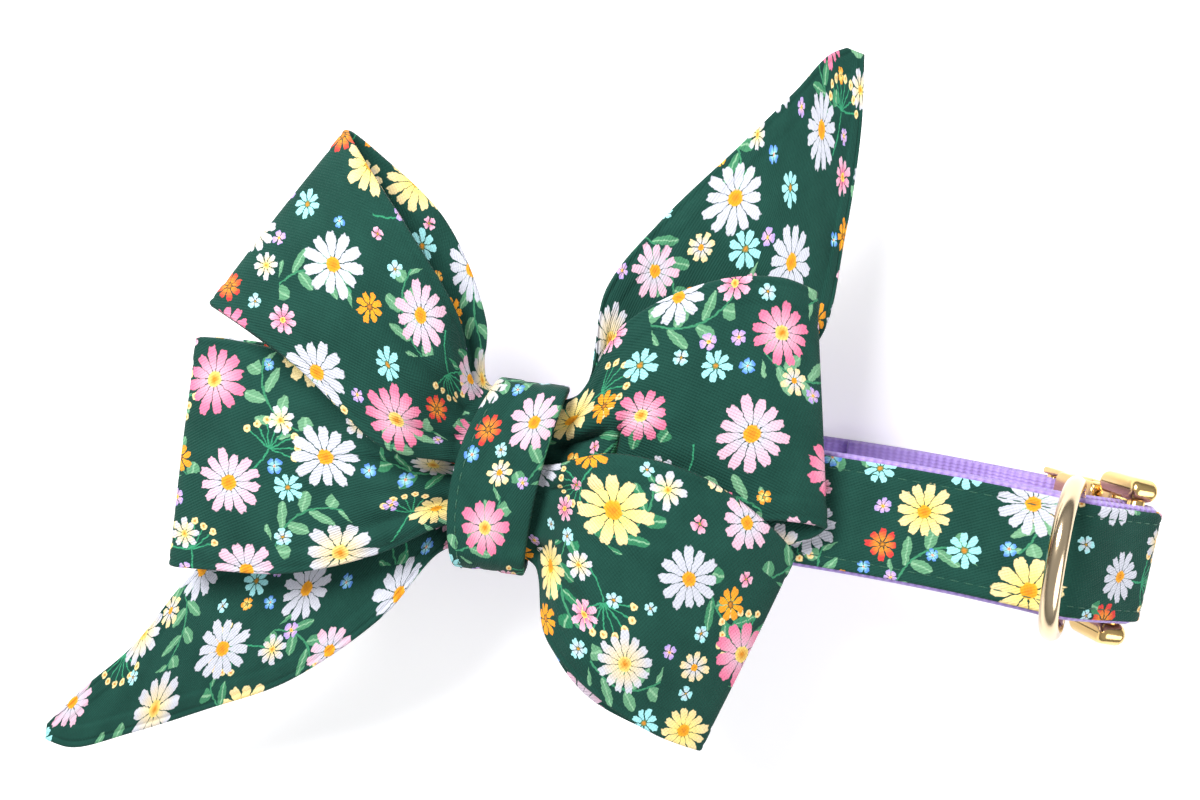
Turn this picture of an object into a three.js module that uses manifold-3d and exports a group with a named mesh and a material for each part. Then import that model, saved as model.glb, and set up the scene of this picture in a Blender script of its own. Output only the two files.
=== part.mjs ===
// A dog collar with a large tied bow: a 25.4 mm strap of nylon webbing with a printed cotton
// cover on its outer face, a gold D-ring, a gold side-release buckle, and a bow of four ribbon
// loops, two pointed tails and a knot band. It lies on the outer face of its back run.
// Millimetres. X runs along the strap towards the buckle, Y across it, Z up from the surface.
// The knot's middle is above the origin.

import * as THREE from 'three';
import { mergeVertices } from 'three/addons/utils/BufferGeometryUtils.js';
import Module from 'manifold-3d';

const wasm = await Module();
wasm.setup();

// Driving dimensions
const STRAP_WIDTH = 25.4;
const COVER_WIDTH = 23.6;
const WEB_THICK = 1.6;
const COVER_THICK = 0.9;
const GAP = 0.3; // clear space between pieces that lie on each other
const CLOTH_THICK = 1.4; // the bow's ribbon is two layers of cotton, turned and stitched
const SEAT_Z = 38; // top of the strap under the knot

const RING_WIRE = 1.8; // half the thickness of the D-ring's wire, in the ring's plane
const RING_HALF_BAND = 2.1; // half its width, across that plane
const RING_INNER = 26.8; // length of the ring's opening along its bar
const RING_DEPTH = 20; // from the middle of the bar to the middle of the bow of the D
const RING_LEAN = 24; // degrees from upright, towards the bow
const RING_PLAY = 0.85; // clear space between the ring's bar and the webbing over and under it

const BAR_RADIUS = 1.8;
const WRAP_RADIUS = 3.6; // middle of the webbing where it goes round a buckle bar
const NEAR_BAR = { x: 131.5, z: 38.5 };
const FAR_BAR = { x: 124.5, z: 6.2 };
const BUCKLE_PITCH = Math.hypot(NEAR_BAR.x - FAR_BAR.x, NEAR_BAR.z - FAR_BAR.z);
const FLOOR_RUN_Z = WEB_THICK / 2 + GAP + COVER_THICK; // webbing's middle on the back run

const FACE_OFFSET = WEB_THICK / 2 + GAP + COVER_THICK; // webbing's middle to cover's outer face
const RING_CREST_Z = SEAT_Z + 15.4 - FACE_OFFSET; // webbing's middle where it crosses the ring's bar
const RING_LAYER = WEB_THICK / 2 + RING_PLAY + RING_WIRE; // webbing's middle to the bar's middle
const RING_AT = { x: 116.3, z: RING_CREST_Z - RING_LAYER };

// Seen from above, the strap bends a little to one side between these two places, and the
// hardware beyond them is turned with it.
const BEND = { from: 72, to: 110, slope: 0.055 };

const COLOURS = { print: 0x1d3b30, lavender: 0xa48bd0, gold: 0xdcb56a, elastic: 0x1c2a24 };

const group = new THREE.Group();

function material(colour, roughness, metalness = 0) {
  return new THREE.MeshStandardMaterial({ color: colour, roughness, metalness });
}

function addPart(name, geometry, surface) {
  const mesh = new THREE.Mesh(geometry, surface);
  mesh.name = name;
  group.add(mesh);
}

// ---- Solids from sheets ----

// Closes a grid of points (rows along the cloth, columns across it) into a wall of one thickness.
// With loop = true the last row joins the first.
function sheetSolid(grid, thickness, loop = false) {
  const rows = grid.length;
  const columns = grid[0].length;
  const at = (i, j) => grid[(i + rows) % rows][j];
  const along = (i, j) => {
    const ahead = loop ? at(i + 1, j) : at(Math.min(i + 1, rows - 1), j);
    const behind = loop ? at(i - 1, j) : at(Math.max(i - 1, 0), j);
    return ahead.clone().sub(behind);
  };
  const across = (i, j) => at(i, Math.min(j + 1, columns - 1)).clone().sub(at(i, Math.max(j - 1, 0)));
  const positions = [];
  for (const side of [0.5, -0.5]) {
    for (let i = 0; i < rows; i++) {
      for (let j = 0; j < columns; j++) {
        const normal = along(i, j).cross(across(i, j)).normalize();
        positions.push(...at(i, j).clone().addScaledVector(normal, side * thickness).toArray());
      }
    }
  }
  const back = rows * columns;
  const index = [];
  const quad = (a, b, c, d) => index.push(a, b, c, a, c, d);
  const id = (i, j) => (i % rows) * columns + j;
  const spans = loop ? rows : rows - 1;
  for (let i = 0; i < spans; i++) {
    for (let j = 0; j < columns - 1; j++) {
      quad(id(i, j), id(i + 1, j), id(i + 1, j + 1), id(i, j + 1));
      quad(back + id(i, j), back + id(i, j + 1), back + id(i + 1, j + 1), back + id(i + 1, j));
    }
    const last = columns - 1;
    quad(id(i, 0), back + id(i, 0), back + id(i + 1, 0), id(i + 1, 0));
    quad(id(i, last), id(i + 1, last), back + id(i + 1, last), back + id(i, last));
  }
  if (!loop) {
    for (let j = 0; j < columns - 1; j++) {
      const end = rows - 1;
      quad(id(0, j), id(0, j + 1), back + id(0, j + 1), back + id(0, j));
      quad(id(end, j), back + id(end, j), back + id(end, j + 1), id(end, j + 1));
    }
  }
  return facingOut(positions, index);
}

// A closed geometry whose triangles face out, whichever way they were listed.
function facingOut(positions, index) {
  let volume = 0;
  const corner = (k) => new THREE.Vector3().fromArray(positions, 3 * index[k]);
  for (let k = 0; k < index.length; k += 3) {
    volume += corner(k).dot(corner(k + 1).cross(corner(k + 2)));
  }
  if (volume < 0) {
    for (let k = 0; k < index.length; k += 3) {
      [index[k], index[k + 1]] = [index[k + 1], index[k]];
    }
  }
  const geometry = new THREE.BufferGeometry();
  geometry.setAttribute('position', new THREE.Float32BufferAttribute(positions, 3));
  geometry.setIndex(index);
  geometry.computeVertexNormals();
  return geometry;
}

// ---- The bow ----

const SPLIT_X = 1.5; // left and right ribbons end this far from the middle of the knot
const LAYER = { tail: 4.5, underBack: 6.4, underFront: 8.3, overBack: 10.2, overFront: 12.1 };

// Each row is a station along the ribbon, from inside the knot out to the fold and back:
// a and b are the ribbon's two edges there, heights are above the strap's top, and crown is how far
// its middle rises between them.
const LOOP_UPPER_LEFT = [
  { ax: -SPLIT_X, ay: -1, az: LAYER.overFront, bx: -SPLIT_X, by: 15.2, bz: LAYER.overFront, crown: 0 },
  { ax: -12, ay: 0.5, az: 12.6, bx: -9.5, by: 17.5, bz: 12.6, crown: 0.4 },
  { ax: -25, ay: 2.5, az: 19.5, bx: -14, by: 31, bz: 19, crown: 2.5 },
  { ax: -44, ay: 16.5, az: 22, bx: -25, by: 46, bz: 21, crown: 2.5 },
  { ax: -57, ay: 23, az: 19.5, bx: -36, by: 58.5, bz: 18.5, crown: 1.5 },
  { ax: -64, ay: 25.5, az: 15.8, bx: -41, by: 64.5, bz: 13.5, crown: 0.5 },
  { ax: -57, ay: 21.5, az: 13, bx: -35, by: 61, bz: 9.5, crown: 0 },
  { ax: -42, ay: 13.5, az: 14.2, bx: -20, by: 49.5, bz: 8.5, crown: -0.5 },
  { ax: -25, ay: 3.5, az: 13.6, bx: -9, by: 30.5, bz: 9.5, crown: 0 },
  { ax: -12, ay: 0, az: 11, bx: -7, by: 18, bz: 10.5, crown: 0 },
  { ax: -SPLIT_X, ay: -1, az: LAYER.overBack, bx: -SPLIT_X, by: 15.5, bz: LAYER.overBack, crown: 0 },
];

const LOOP_LOWER_LEFT = [
  { ax: -SPLIT_X, ay: -13, az: LAYER.underFront, bx: -SPLIT_X, by: 3, bz: LAYER.underFront, crown: 0 },
  { ax: -12.5, ay: -13.5, az: 8.8, bx: -11.5, by: 3, bz: 8.6, crown: 0.5 },
  { ax: -24, ay: -20.5, az: 11, bx: -25, by: 8.5, bz: 9.8, crown: 2.5 },
  { ax: -42, ay: -27.5, az: 11, bx: -44, by: 17, bz: 9.8, crown: 3 },
  { ax: -60, ay: -30, az: 8.5, bx: -61, by: 19, bz: 9, crown: 2 },
  { ax: -69, ay: -31, az: 5.5, bx: -68.5, by: 18.5, bz: 6.5, crown: 0.5 },
  { ax: -60, ay: -29.5, az: 3, bx: -60, by: 19, bz: 4, crown: 0 },
  { ax: -42, ay: -25, az: 4, bx: -42, by: 17.5, bz: 4.4, crown: 0 },
  { ax: -24, ay: -17, az: 6, bx: -24, by: 9.5, bz: 5.6, crown: 0 },
  { ax: -12.5, ay: -13, az: 6.6, bx: -11.5, by: 4.5, bz: 6.4, crown: 0 },
  { ax: -SPLIT_X, ay: -12.5, az: LAYER.underBack, bx: -SPLIT_X, by: 4, bz: LAYER.underBack, crown: 0 },
];

const LOOP_UPPER_RIGHT = [
  { ax: SPLIT_X, ay: -3, az: LAYER.underFront, bx: SPLIT_X, by: 12.5, bz: LAYER.underFront, crown: 0 },
  { ax: 10, ay: -3, az: 8.6, bx: 12, by: 17.5, bz: 9.3, crown: 0.5 },
  { ax: 24, ay: -4.5, az: 9.8, bx: 20, by: 34, bz: 15, crown: 2.2 },
  { ax: 42, ay: -5, az: 11, bx: 36, by: 44.5, bz: 17, crown: 3 },
  { ax: 57, ay: -2, az: 13, bx: 49.5, by: 47, bz: 15.5, crown: 1.5 },
  { ax: 66, ay: -3, az: 10.5, bx: 56.5, by: 45.5, bz: 12, crown: 0.5 },
  { ax: 60, ay: -7.5, az: 7.6, bx: 50, by: 47, bz: 8.6, crown: 0 },
  { ax: 42, ay: -8, az: 6.2, bx: 36, by: 44, bz: 7, crown: 0 },
  { ax: 24, ay: -5, az: 6, bx: 20, by: 33, bz: 6.8, crown: 0 },
  { ax: 10, ay: -3, az: 6.4, bx: 12, by: 17, bz: 6.4, crown: 0 },
  { ax: SPLIT_X, ay: -3, az: LAYER.underBack, bx: SPLIT_X, by: 13, bz: LAYER.underBack, crown: 0 },
];

const LOOP_LOWER_RIGHT = [
  { ax: SPLIT_X, ay: -16, az: LAYER.overFront, bx: SPLIT_X, by: 1.5, bz: LAYER.overFront, crown: 0 },
  { ax: 8.5, ay: -19, az: 12.6, bx: 9, by: 3, bz: 12.8, crown: 0.3 },
  { ax: 13, ay: -32, az: 19, bx: 21, by: 8, bz: 22.5, crown: 2.5 },
  { ax: 25, ay: -42, az: 20.5, bx: 37, by: 6.5, bz: 23, crown: 2.5 },
  { ax: 37, ay: -48.5, az: 17.5, bx: 52, by: -1, bz: 20, crown: 1.5 },
  { ax: 46.5, ay: -52, az: 13, bx: 60, by: -8, bz: 15, crown: 0.5 },
  { ax: 36, ay: -50.5, az: 9, bx: 50, by: -2.5, bz: 15.6, crown: 0 },
  { ax: 22, ay: -45, az: 8.5, bx: 36, by: 2.5, bz: 15.6, crown: -0.5 },
  { ax: 12, ay: -33, az: 9.5, bx: 20, by: 3.5, bz: 14.8, crown: 0 },
  { ax: 8.5, ay: -19, az: 10.4, bx: 9, by: 2, bz: 11.2, crown: 0 },
  { ax: SPLIT_X, ay: -15.5, az: LAYER.overBack, bx: SPLIT_X, by: 1, bz: LAYER.overBack, crown: 0 },
];

// The tails' stations run from the knot to the point: a is the long edge, b the short edge and
// then the slanted end.
const TAIL_LOWER_LEFT = [
  { ax: -SPLIT_X, ay: -16, az: LAYER.tail, bx: -SPLIT_X, by: -5, bz: LAYER.tail, crown: 0 },
  { ax: -12.5, ay: -20, az: 4.4, bx: -12, by: -6, bz: 4.4, crown: 0 },
  { ax: -23, ay: -35.5, az: 3.5, bx: -27, by: -12, bz: 3, crown: 1 },
  { ax: -43, ay: -54.5, az: -2, bx: -46, by: -21, bz: 0.5, crown: 2 },
  { ax: -61.5, ay: -65, az: -6.5, bx: -63.5, by: -30, bz: -3, crown: 2 },
  { ax: -79, ay: -74, az: -9, bx: -80, by: -53.5, bz: -8, crown: 1 },
  { ax: -92, ay: -79.5, az: -10, bx: -91.5, by: -66, bz: -9.5, crown: 0.3 },
  { ax: -98.5, ay: -78.5, az: -10, bx: -98.5, by: -75, bz: -10, crown: 0 },
];

const TAIL_UPPER_RIGHT = [
  { ax: SPLIT_X, ay: 14, az: LAYER.tail, bx: SPLIT_X, by: 5, bz: LAYER.tail, crown: 0 },
  { ax: 12.5, ay: 18, az: 4.3, bx: 13, by: 6, bz: 4.2, crown: 0 },
  { ax: 14.5, ay: 40, az: 2.6, bx: 28, by: 14, bz: 3, crown: 0.5 },
  { ax: 24, ay: 56, az: -1, bx: 46, by: 25, bz: 2.5, crown: 2 },
  { ax: 39, ay: 75, az: -5.5, bx: 60, by: 34, bz: 0, crown: 2 },
  { ax: 49, ay: 88, az: -7, bx: 63.5, by: 58, bz: -5, crown: 1 },
  { ax: 55, ay: 96.5, az: -8, bx: 64, by: 81, bz: -7, crown: 0.3 },
  { ax: 58.5, ay: 98.5, az: -8, bx: 62.5, by: 97.5, bz: -8, crown: 0 },
];

// The grid of a ribbon's middle surface: a smooth curve through each column of the table, and a
// crown across. Pleats gather it at the knot and open out within a few centimetres.
function ribbonGrid(stations, { rows, columns, pleats = 0, pleatDepth = 0 }) {
  const edge = (name) => {
    const points = stations.map((s) => new THREE.Vector3(s[name + 'x'], s[name + 'y'], SEAT_Z + s[name + 'z']));
    return new THREE.CatmullRomCurve3(points, false, 'centripetal');
  };
  const edgeA = edge('a');
  const edgeB = edge('b');
  const last = stations.length - 1;
  const crown = (t) => {
    const place = t * last;
    const i = Math.min(Math.floor(place), last - 1);
    return THREE.MathUtils.lerp(stations[i].crown, stations[i + 1].crown, place - i);
  };
  const grid = [];
  for (let i = 0; i <= rows; i++) {
    const t = i / rows;
    const a = edgeA.getPoint(t);
    const b = edgeB.getPoint(t);
    const row = [];
    for (let j = 0; j <= columns; j++) {
      const v = j / columns;
      const point = a.clone().lerp(b, v);
      const reach = Math.abs(point.x) - 10; // distance outside the knot band
      const open = Math.max(0, 1 - Math.abs(reach - 9) / 12);
      point.z += 4 * v * (1 - v) * crown(t) + pleatDepth * open * Math.sin(2 * Math.PI * pleats * v);
      row.push(point);
    }
    grid.push(row);
  }
  return grid;
}

function addLoop(name, stations) {
  const grid = ribbonGrid(stations, { rows: 34, columns: 8, pleats: 1.5, pleatDepth: 0.5 });
  addPart(name, sheetSolid(grid, CLOTH_THICK), material(COLOURS.print, 0.85));
}

function addTail(name, stations) {
  const grid = ribbonGrid(stations, { rows: 22, columns: 8 });
  addPart(name, sheetSolid(grid, CLOTH_THICK), material(COLOURS.print, 0.85));
}

// A closed band round the strap's direction: a rounded rectangle in Y and Z, with its two edges
// in X given by a function of the place along it.
function bandGrid({ top, bottom, middleY, halfWidth, topRadius, baseRadius, crown, edges, steps, columns }) {
  const outline = new THREE.Shape();
  outline.moveTo(0, bottom);
  outline.absarc(halfWidth - baseRadius, bottom + baseRadius, baseRadius, -Math.PI / 2, 0);
  outline.absarc(halfWidth - topRadius, top - topRadius, topRadius, 0, Math.PI / 2);
  outline.absarc(-halfWidth + topRadius, top - topRadius, topRadius, Math.PI / 2, Math.PI);
  outline.absarc(-halfWidth + baseRadius, bottom + baseRadius, baseRadius, Math.PI, 1.5 * Math.PI);
  outline.lineTo(0, bottom);
  const points = outline.getSpacedPoints(steps).slice(0, steps);
  const middle = (top + bottom) / 2;
  return points.map(({ x: y, y: z }) => {
    const front = THREE.MathUtils.clamp((z - middle) / (top - middle), 0, 1);
    const rise = crown * front * Math.cos((y / halfWidth) * (Math.PI / 2));
    const { left, right } = edges(y / halfWidth);
    const row = [];
    for (let j = 0; j <= columns; j++) {
      const v = j / columns;
      const lift = rise * (0.55 + 1.8 * v * (1 - v));
      row.push(new THREE.Vector3(left + (right - left) * v, middleY + y, z + lift));
    }
    return row;
  });
}

function addKnotBand() {
  // The band leans a little: its upper end sits further right, and its left edge bows out.
  const edges = (u) => ({ left: -11 + 2 * u + 4 * u * u, right: 6.6 + 2 * u + 1.4 * u * u });
  const grid = bandGrid({
    top: SEAT_Z + 14.6,
    bottom: SEAT_Z + 2.4,
    middleY: -1.3,
    halfWidth: 19.3,
    topRadius: 4.5,
    baseRadius: 2.4,
    crown: 2.6,
    edges,
    steps: 44,
    columns: 4,
  });
  addPart('knot_band', sheetSolid(grid, 1.2, true), material(COLOURS.print, 0.85));
}

function addKeeper() {
  const grid = bandGrid({
    top: SEAT_Z + 1,
    bottom: SEAT_Z - FACE_OFFSET - WEB_THICK / 2 - 1.1,
    middleY: 0,
    halfWidth: STRAP_WIDTH / 2 + 1.1,
    topRadius: 1.2,
    baseRadius: 1.2,
    crown: 0,
    edges: () => ({ left: -8, right: 6 }),
    steps: 40,
    columns: 1,
  });
  addPart('bow_keeper', sheetSolid(grid, 0.8, true), material(COLOURS.elastic, 0.9));
}

// ---- The strap ----

// Middle of the webbing on its front run, from the buckle's bar to the left end.
const FRONT_RUN = [
  { x: 124.5, z: 47.4 },
  { x: RING_AT.x, z: RING_CREST_Z },
  { x: 107, z: 49.4 },
  { x: 90, z: 45.4 },
  { x: 64, z: 40.8 },
  { x: 32, z: 37.4 },
  { x: 0, z: SEAT_Z - FACE_OFFSET },
  { x: -22, z: 36.2 },
];
const LEFT_END = { x: -39, radius: 17.2 };
// The stitched-down end of the webbing, back from the near bar and under the ring's bar.
const NEAR_RETURN = [
  { x: 94, z: 44.2 },
  { x: 105, z: 46.9 },
  { x: 111, z: 45.6 },
  { x: RING_AT.x, z: RING_AT.z - RING_LAYER },
];
const FAR_RETURN_END_X = 76;
const COVER_SEAM_X = 35; // the cover's two lengths meet here, on the back run

function arcPoints(centre, radius, fromDegrees, toDegrees, steps) {
  const points = [];
  for (let i = 0; i <= steps; i++) {
    const angle = THREE.MathUtils.degToRad(THREE.MathUtils.lerp(fromDegrees, toDegrees, i / steps));
    points.push(new THREE.Vector2(centre.x + radius * Math.cos(angle), centre.z + radius * Math.sin(angle)));
  }
  return points;
}

function splinePoints(stations, spacing) {
  const curve = new THREE.SplineCurve(stations.map(({ x, z }) => new THREE.Vector2(x, z)));
  return curve.getSpacedPoints(Math.round(curve.getLength() / spacing));
}

// The webbing's middle line in four stretches: the near return, the parts that the cover's two
// lengths go with, and the far return.
function strapLine() {
  const nearReturn = splinePoints(NEAR_RETURN, 2.5);
  const nearWrap = arcPoints(NEAR_BAR, WRAP_RADIUS, -121, 59, 12);
  const front = splinePoints(FRONT_RUN, 4.5);
  const leftCentre = { x: LEFT_END.x, z: FLOOR_RUN_Z + LEFT_END.radius };
  const left = arcPoints(leftCentre, LEFT_END.radius, 96, 262, 16);
  const floorRun = (from, to) => splinePoints([{ x: from, z: FLOOR_RUN_Z }, { x: to, z: FLOOR_RUN_Z }], 12);
  const farWrap = arcPoints(FAR_BAR, WRAP_RADIUS, -96, 90, 12);
  const lap = FLOOR_RUN_Z + WEB_THICK + GAP;
  const farReturn = splinePoints(
    [
      { x: FAR_BAR.x - 6, z: FAR_BAR.z + 2.2 },
      { x: FAR_BAR.x - 14, z: lap + 0.6 },
      { x: FAR_BAR.x - 20, z: lap },
      { x: FAR_RETURN_END_X, z: lap },
    ],
    3,
  );
  return {
    nearReturn,
    coveredFront: [...nearWrap, ...front, ...left, ...floorRun(-30, COVER_SEAM_X - GAP / 2)],
    coveredBack: [...floorRun(COVER_SEAM_X + GAP / 2, 100), ...farWrap],
    farReturn,
  };
}

// How far to the side the strap's middle is at x, and its slope there.
function bendAt(x) {
  const run = BEND.to - BEND.from;
  const inside = THREE.MathUtils.clamp(x - BEND.from, 0, run);
  const beyond = Math.max(0, x - BEND.to);
  return { y: -BEND.slope * ((inside * inside) / (2 * run) + beyond), slope: -BEND.slope * (inside / run) };
}

// The point at x and z that lies y to the side of the strap's middle.
function bentPoint(x, y, z) {
  const { y: middle, slope } = bendAt(x);
  const length = Math.hypot(1, slope);
  return new THREE.Vector3(x - (y * slope) / length, middle + y / length, z);
}

// A flat strip of one width across the strap, whose middle follows a line in X and Z at an
// offset to its outer side.
function stripGrid(line, width, offset) {
  return line.map((point, i) => {
    const ahead = line[Math.min(i + 1, line.length - 1)];
    const behind = line[Math.max(i - 1, 0)];
    const along = ahead.clone().sub(behind).normalize();
    const x = point.x + along.y * offset;
    const z = point.y - along.x * offset;
    return [bentPoint(x, -width / 2, z), bentPoint(x, width / 2, z)];
  });
}

function addStrap() {
  const { nearReturn, coveredFront, coveredBack, farReturn } = strapLine();
  const webLine = [...nearReturn, ...coveredFront, ...coveredBack, ...farReturn];
  addPart(
    'strap_webbing',
    sheetSolid(stripGrid(webLine, STRAP_WIDTH, 0), WEB_THICK),
    material(COLOURS.lavender, 0.8),
  );
  const coverOffset = WEB_THICK / 2 + GAP + COVER_THICK / 2;
  for (const [name, line] of [['strap_cover', coveredFront], ['strap_cover_back', coveredBack]]) {
    addPart(
      name,
      sheetSolid(stripGrid(line, COVER_WIDTH, coverOffset), COVER_THICK),
      material(COLOURS.print, 0.85),
    );
  }
}

// ---- The gold hardware ----

const gold = () => material(COLOURS.gold, 0.2, 1);

// A D-shaped ring: a straight bar and a half-oval bow, of oval wire, in the plane of its
// bar and lean.
function addDRing() {
  const half = RING_INNER / 2 + RING_WIRE;
  const corner = 3.4;
  const line = new THREE.Shape();
  line.moveTo(-half + corner, 0);
  line.lineTo(half - corner, 0);
  line.quadraticCurveTo(half, 0, half, corner);
  line.bezierCurveTo(half, RING_DEPTH * 0.72, half * 0.62, RING_DEPTH, 0, RING_DEPTH);
  line.bezierCurveTo(-half * 0.62, RING_DEPTH, -half, RING_DEPTH * 0.72, -half, corner);
  line.quadraticCurveTo(-half, 0, -half + corner, 0);
  const steps = 44;
  const sides = 10;
  const points = line.getSpacedPoints(steps).slice(0, steps);
  const lean = THREE.MathUtils.degToRad(RING_LEAN);
  const up = new THREE.Vector3(-Math.sin(lean), 0, Math.cos(lean));
  const flat = new THREE.Vector3(Math.cos(lean), 0, Math.sin(lean));
  const positions = [];
  const index = [];
  points.forEach((point, i) => {
    const ahead = points[(i + 1) % steps];
    const behind = points[(i + steps - 1) % steps];
    const outward = new THREE.Vector2(ahead.y - behind.y, behind.x - ahead.x).normalize();
    // The bar is round, so that it turns in its tunnel, and the bow is a wider band.
    const band = THREE.MathUtils.lerp(RING_WIRE, RING_HALF_BAND, Math.min(1, point.y / 6));
    for (let k = 0; k < sides; k++) {
      const turn = (2 * Math.PI * k) / sides;
      const out = RING_WIRE * Math.cos(turn);
      const place = new THREE.Vector3(0, point.x + outward.x * out, 0)
        .addScaledVector(up, point.y + outward.y * out)
        .addScaledVector(flat, band * Math.sin(turn));
      positions.push(...place.toArray());
      const [a, b] = [i * sides + k, i * sides + ((k + 1) % sides)];
      const [c, d] = [((i + 1) % steps) * sides + k, ((i + 1) % steps) * sides + ((k + 1) % sides)];
      index.push(a, c, b, b, c, d);
    }
  });
  const ring = facingOut(positions, index);
  ring.translate(RING_AT.x, bendAt(RING_AT.x).y, RING_AT.z);
  addPart('d_ring', ring, gold());
}

function toManifold(geometry) {
  const bare = geometry.clone();
  bare.deleteAttribute('normal');
  bare.deleteAttribute('uv');
  const merged = mergeVertices(bare, 1e-4);
  const vertProperties = new Float32Array(merged.attributes.position.array);
  return new wasm.Manifold(new wasm.Mesh({ numProp: 3, vertProperties, triVerts: new Uint32Array(merged.index.array) }));
}

function fromManifold(solid) {
  const { vertProperties, triVerts } = solid.getMesh();
  const geometry = new THREE.BufferGeometry();
  geometry.setAttribute('position', new THREE.BufferAttribute(vertProperties, 3));
  geometry.setIndex(new THREE.BufferAttribute(triVerts, 1));
  geometry.computeVertexNormals();
  return geometry;
}

// A block of the buckle with rounded corners and softened faces. t runs from the near bar to the
// far bar, y across, and the block's thickness is even about the buckle's middle plane.
function block(tFrom, tTo, yFrom, yTo, thickness, radius, bevel = 0.6) {
  const [t0, t1, y0, y1] = [tFrom + bevel, tTo - bevel, yFrom + bevel, yTo - bevel];
  const r = Math.max(0.01, radius - bevel);
  const shape = new THREE.Shape();
  shape.moveTo(t0 + r, y0);
  shape.lineTo(t1 - r, y0);
  shape.absarc(t1 - r, y0 + r, r, -Math.PI / 2, 0);
  shape.lineTo(t1, y1 - r);
  shape.absarc(t1 - r, y1 - r, r, 0, Math.PI / 2);
  shape.lineTo(t0 + r, y1);
  shape.absarc(t0 + r, y1 - r, r, Math.PI / 2, Math.PI);
  shape.lineTo(t0, y0 + r);
  shape.absarc(t0 + r, y0 + r, r, Math.PI, 1.5 * Math.PI);
  const geometry = new THREE.ExtrudeGeometry(shape, {
    depth: thickness - 2 * bevel,
    bevelThickness: bevel,
    bevelSize: bevel,
    bevelSegments: 1,
    curveSegments: 3,
  });
  geometry.translate(0, 0, -thickness / 2 + bevel);
  return toManifold(geometry);
}

function bar(t, halfLength) {
  const geometry = new THREE.CylinderGeometry(BAR_RADIUS, BAR_RADIUS, 2 * halfLength, 16);
  geometry.translate(t, 0, 0);
  return toManifold(geometry);
}

const STRAP_SLOT = STRAP_WIDTH / 2 + 0.5; // half the width that the strap needs between the arms
const EAR_HALF_WIDTH = 17.3;
const SOCKET_HALF_WIDTH = 14.8;
const SOCKET = { from: 11.4, to: BUCKLE_PITCH - 6.1, thickness: 7.4, wall: 1.2 };
const CLIP_THICKNESS = 4.6;

// The clip half: two rounded ears that carry the near bar, a cross piece, and two prongs whose
// tabs show in the socket's side windows.
function clipSolid() {
  let solid = bar(0, EAR_HALF_WIDTH - 1);
  for (const side of [-1, 1]) {
    const span = (from, to) => (side > 0 ? [from, to] : [-to, -from]);
    const parts = [
      block(-2.8, 11, ...span(STRAP_SLOT, EAR_HALF_WIDTH), CLIP_THICKNESS, 2),
      block(9, 19, ...span(8.6, 11.2), 2.6, 1),
      block(15.6, 20.6, ...span(8.6, SOCKET_HALF_WIDTH - 0.5), 2.6, 1),
    ];
    parts.forEach((part) => {
      solid = solid.add(part);
    });
  }
  return solid.add(block(6, 11, -15.5, 15.5, CLIP_THICKNESS, 1));
}

// The socket half: a hollow body open towards the clip, with a window at each side, and two arms
// that carry the far bar.
function socketSolid() {
  const { from, to, thickness, wall } = SOCKET;
  const body = block(from, to, -SOCKET_HALF_WIDTH, SOCKET_HALF_WIDTH, thickness, 2.4);
  const hollow = block(from - 2, 23, -11.8, 11.8, thickness - 2 * wall, 0.8, 0.3);
  const window = block(15, 21.4, -20, 20, 3.4, 1, 0.3);
  let solid = body.subtract(hollow).subtract(window).add(bar(BUCKLE_PITCH, SOCKET_HALF_WIDTH - 0.6));
  for (const side of [-1, 1]) {
    const ends = side > 0 ? [STRAP_SLOT, SOCKET_HALF_WIDTH] : [-SOCKET_HALF_WIDTH, -STRAP_SLOT];
    solid = solid.add(block(25, BUCKLE_PITCH + 2.4, ...ends, 4.4, 0.8, 0.4));
  }
  return solid;
}

function addBuckle() {
  const slope = Math.atan2(FAR_BAR.z - NEAR_BAR.z, FAR_BAR.x - NEAR_BAR.x);
  const solids = { buckle_clip: clipSolid(), buckle_socket: socketSolid() };
  for (const [name, solid] of Object.entries(solids)) {
    const geometry = fromManifold(solid);
    geometry.applyMatrix4(
      new THREE.Matrix4().makeBasis(
        new THREE.Vector3(Math.cos(slope), 0, Math.sin(slope)),
        new THREE.Vector3(0, 1, 0),
        new THREE.Vector3(-Math.sin(slope), 0, Math.cos(slope)),
      ),
    );
    geometry.rotateZ(-Math.atan(BEND.slope));
    geometry.translate(NEAR_BAR.x, bendAt(NEAR_BAR.x).y, NEAR_BAR.z);
    addPart(name, geometry, gold());
  }
}

addStrap();
addDRing();
addBuckle();
addKeeper();
addTail('tail_lower_left', TAIL_LOWER_LEFT);
addTail('tail_upper_right', TAIL_UPPER_RIGHT);
addLoop('loop_lower_left', LOOP_LOWER_LEFT);
addLoop('loop_upper_right', LOOP_UPPER_RIGHT);
addLoop('loop_upper_left', LOOP_UPPER_LEFT);
addLoop('loop_lower_right', LOOP_LOWER_RIGHT);
addKnotBand();

export default group;
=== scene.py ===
# Looks for the pet bow tie collar: cloth, webbing, metal, stitching, floor, light and camera.
# Places and sizes repeat the CAD's, apart from a slimmer ring band and fuller buckle corners.
# Lengths are in millimetres in the CAD's frame, and become metres where a mesh is made.

import math

import bpy
import numpy as np
from mathutils import Matrix, Vector, noise


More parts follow.
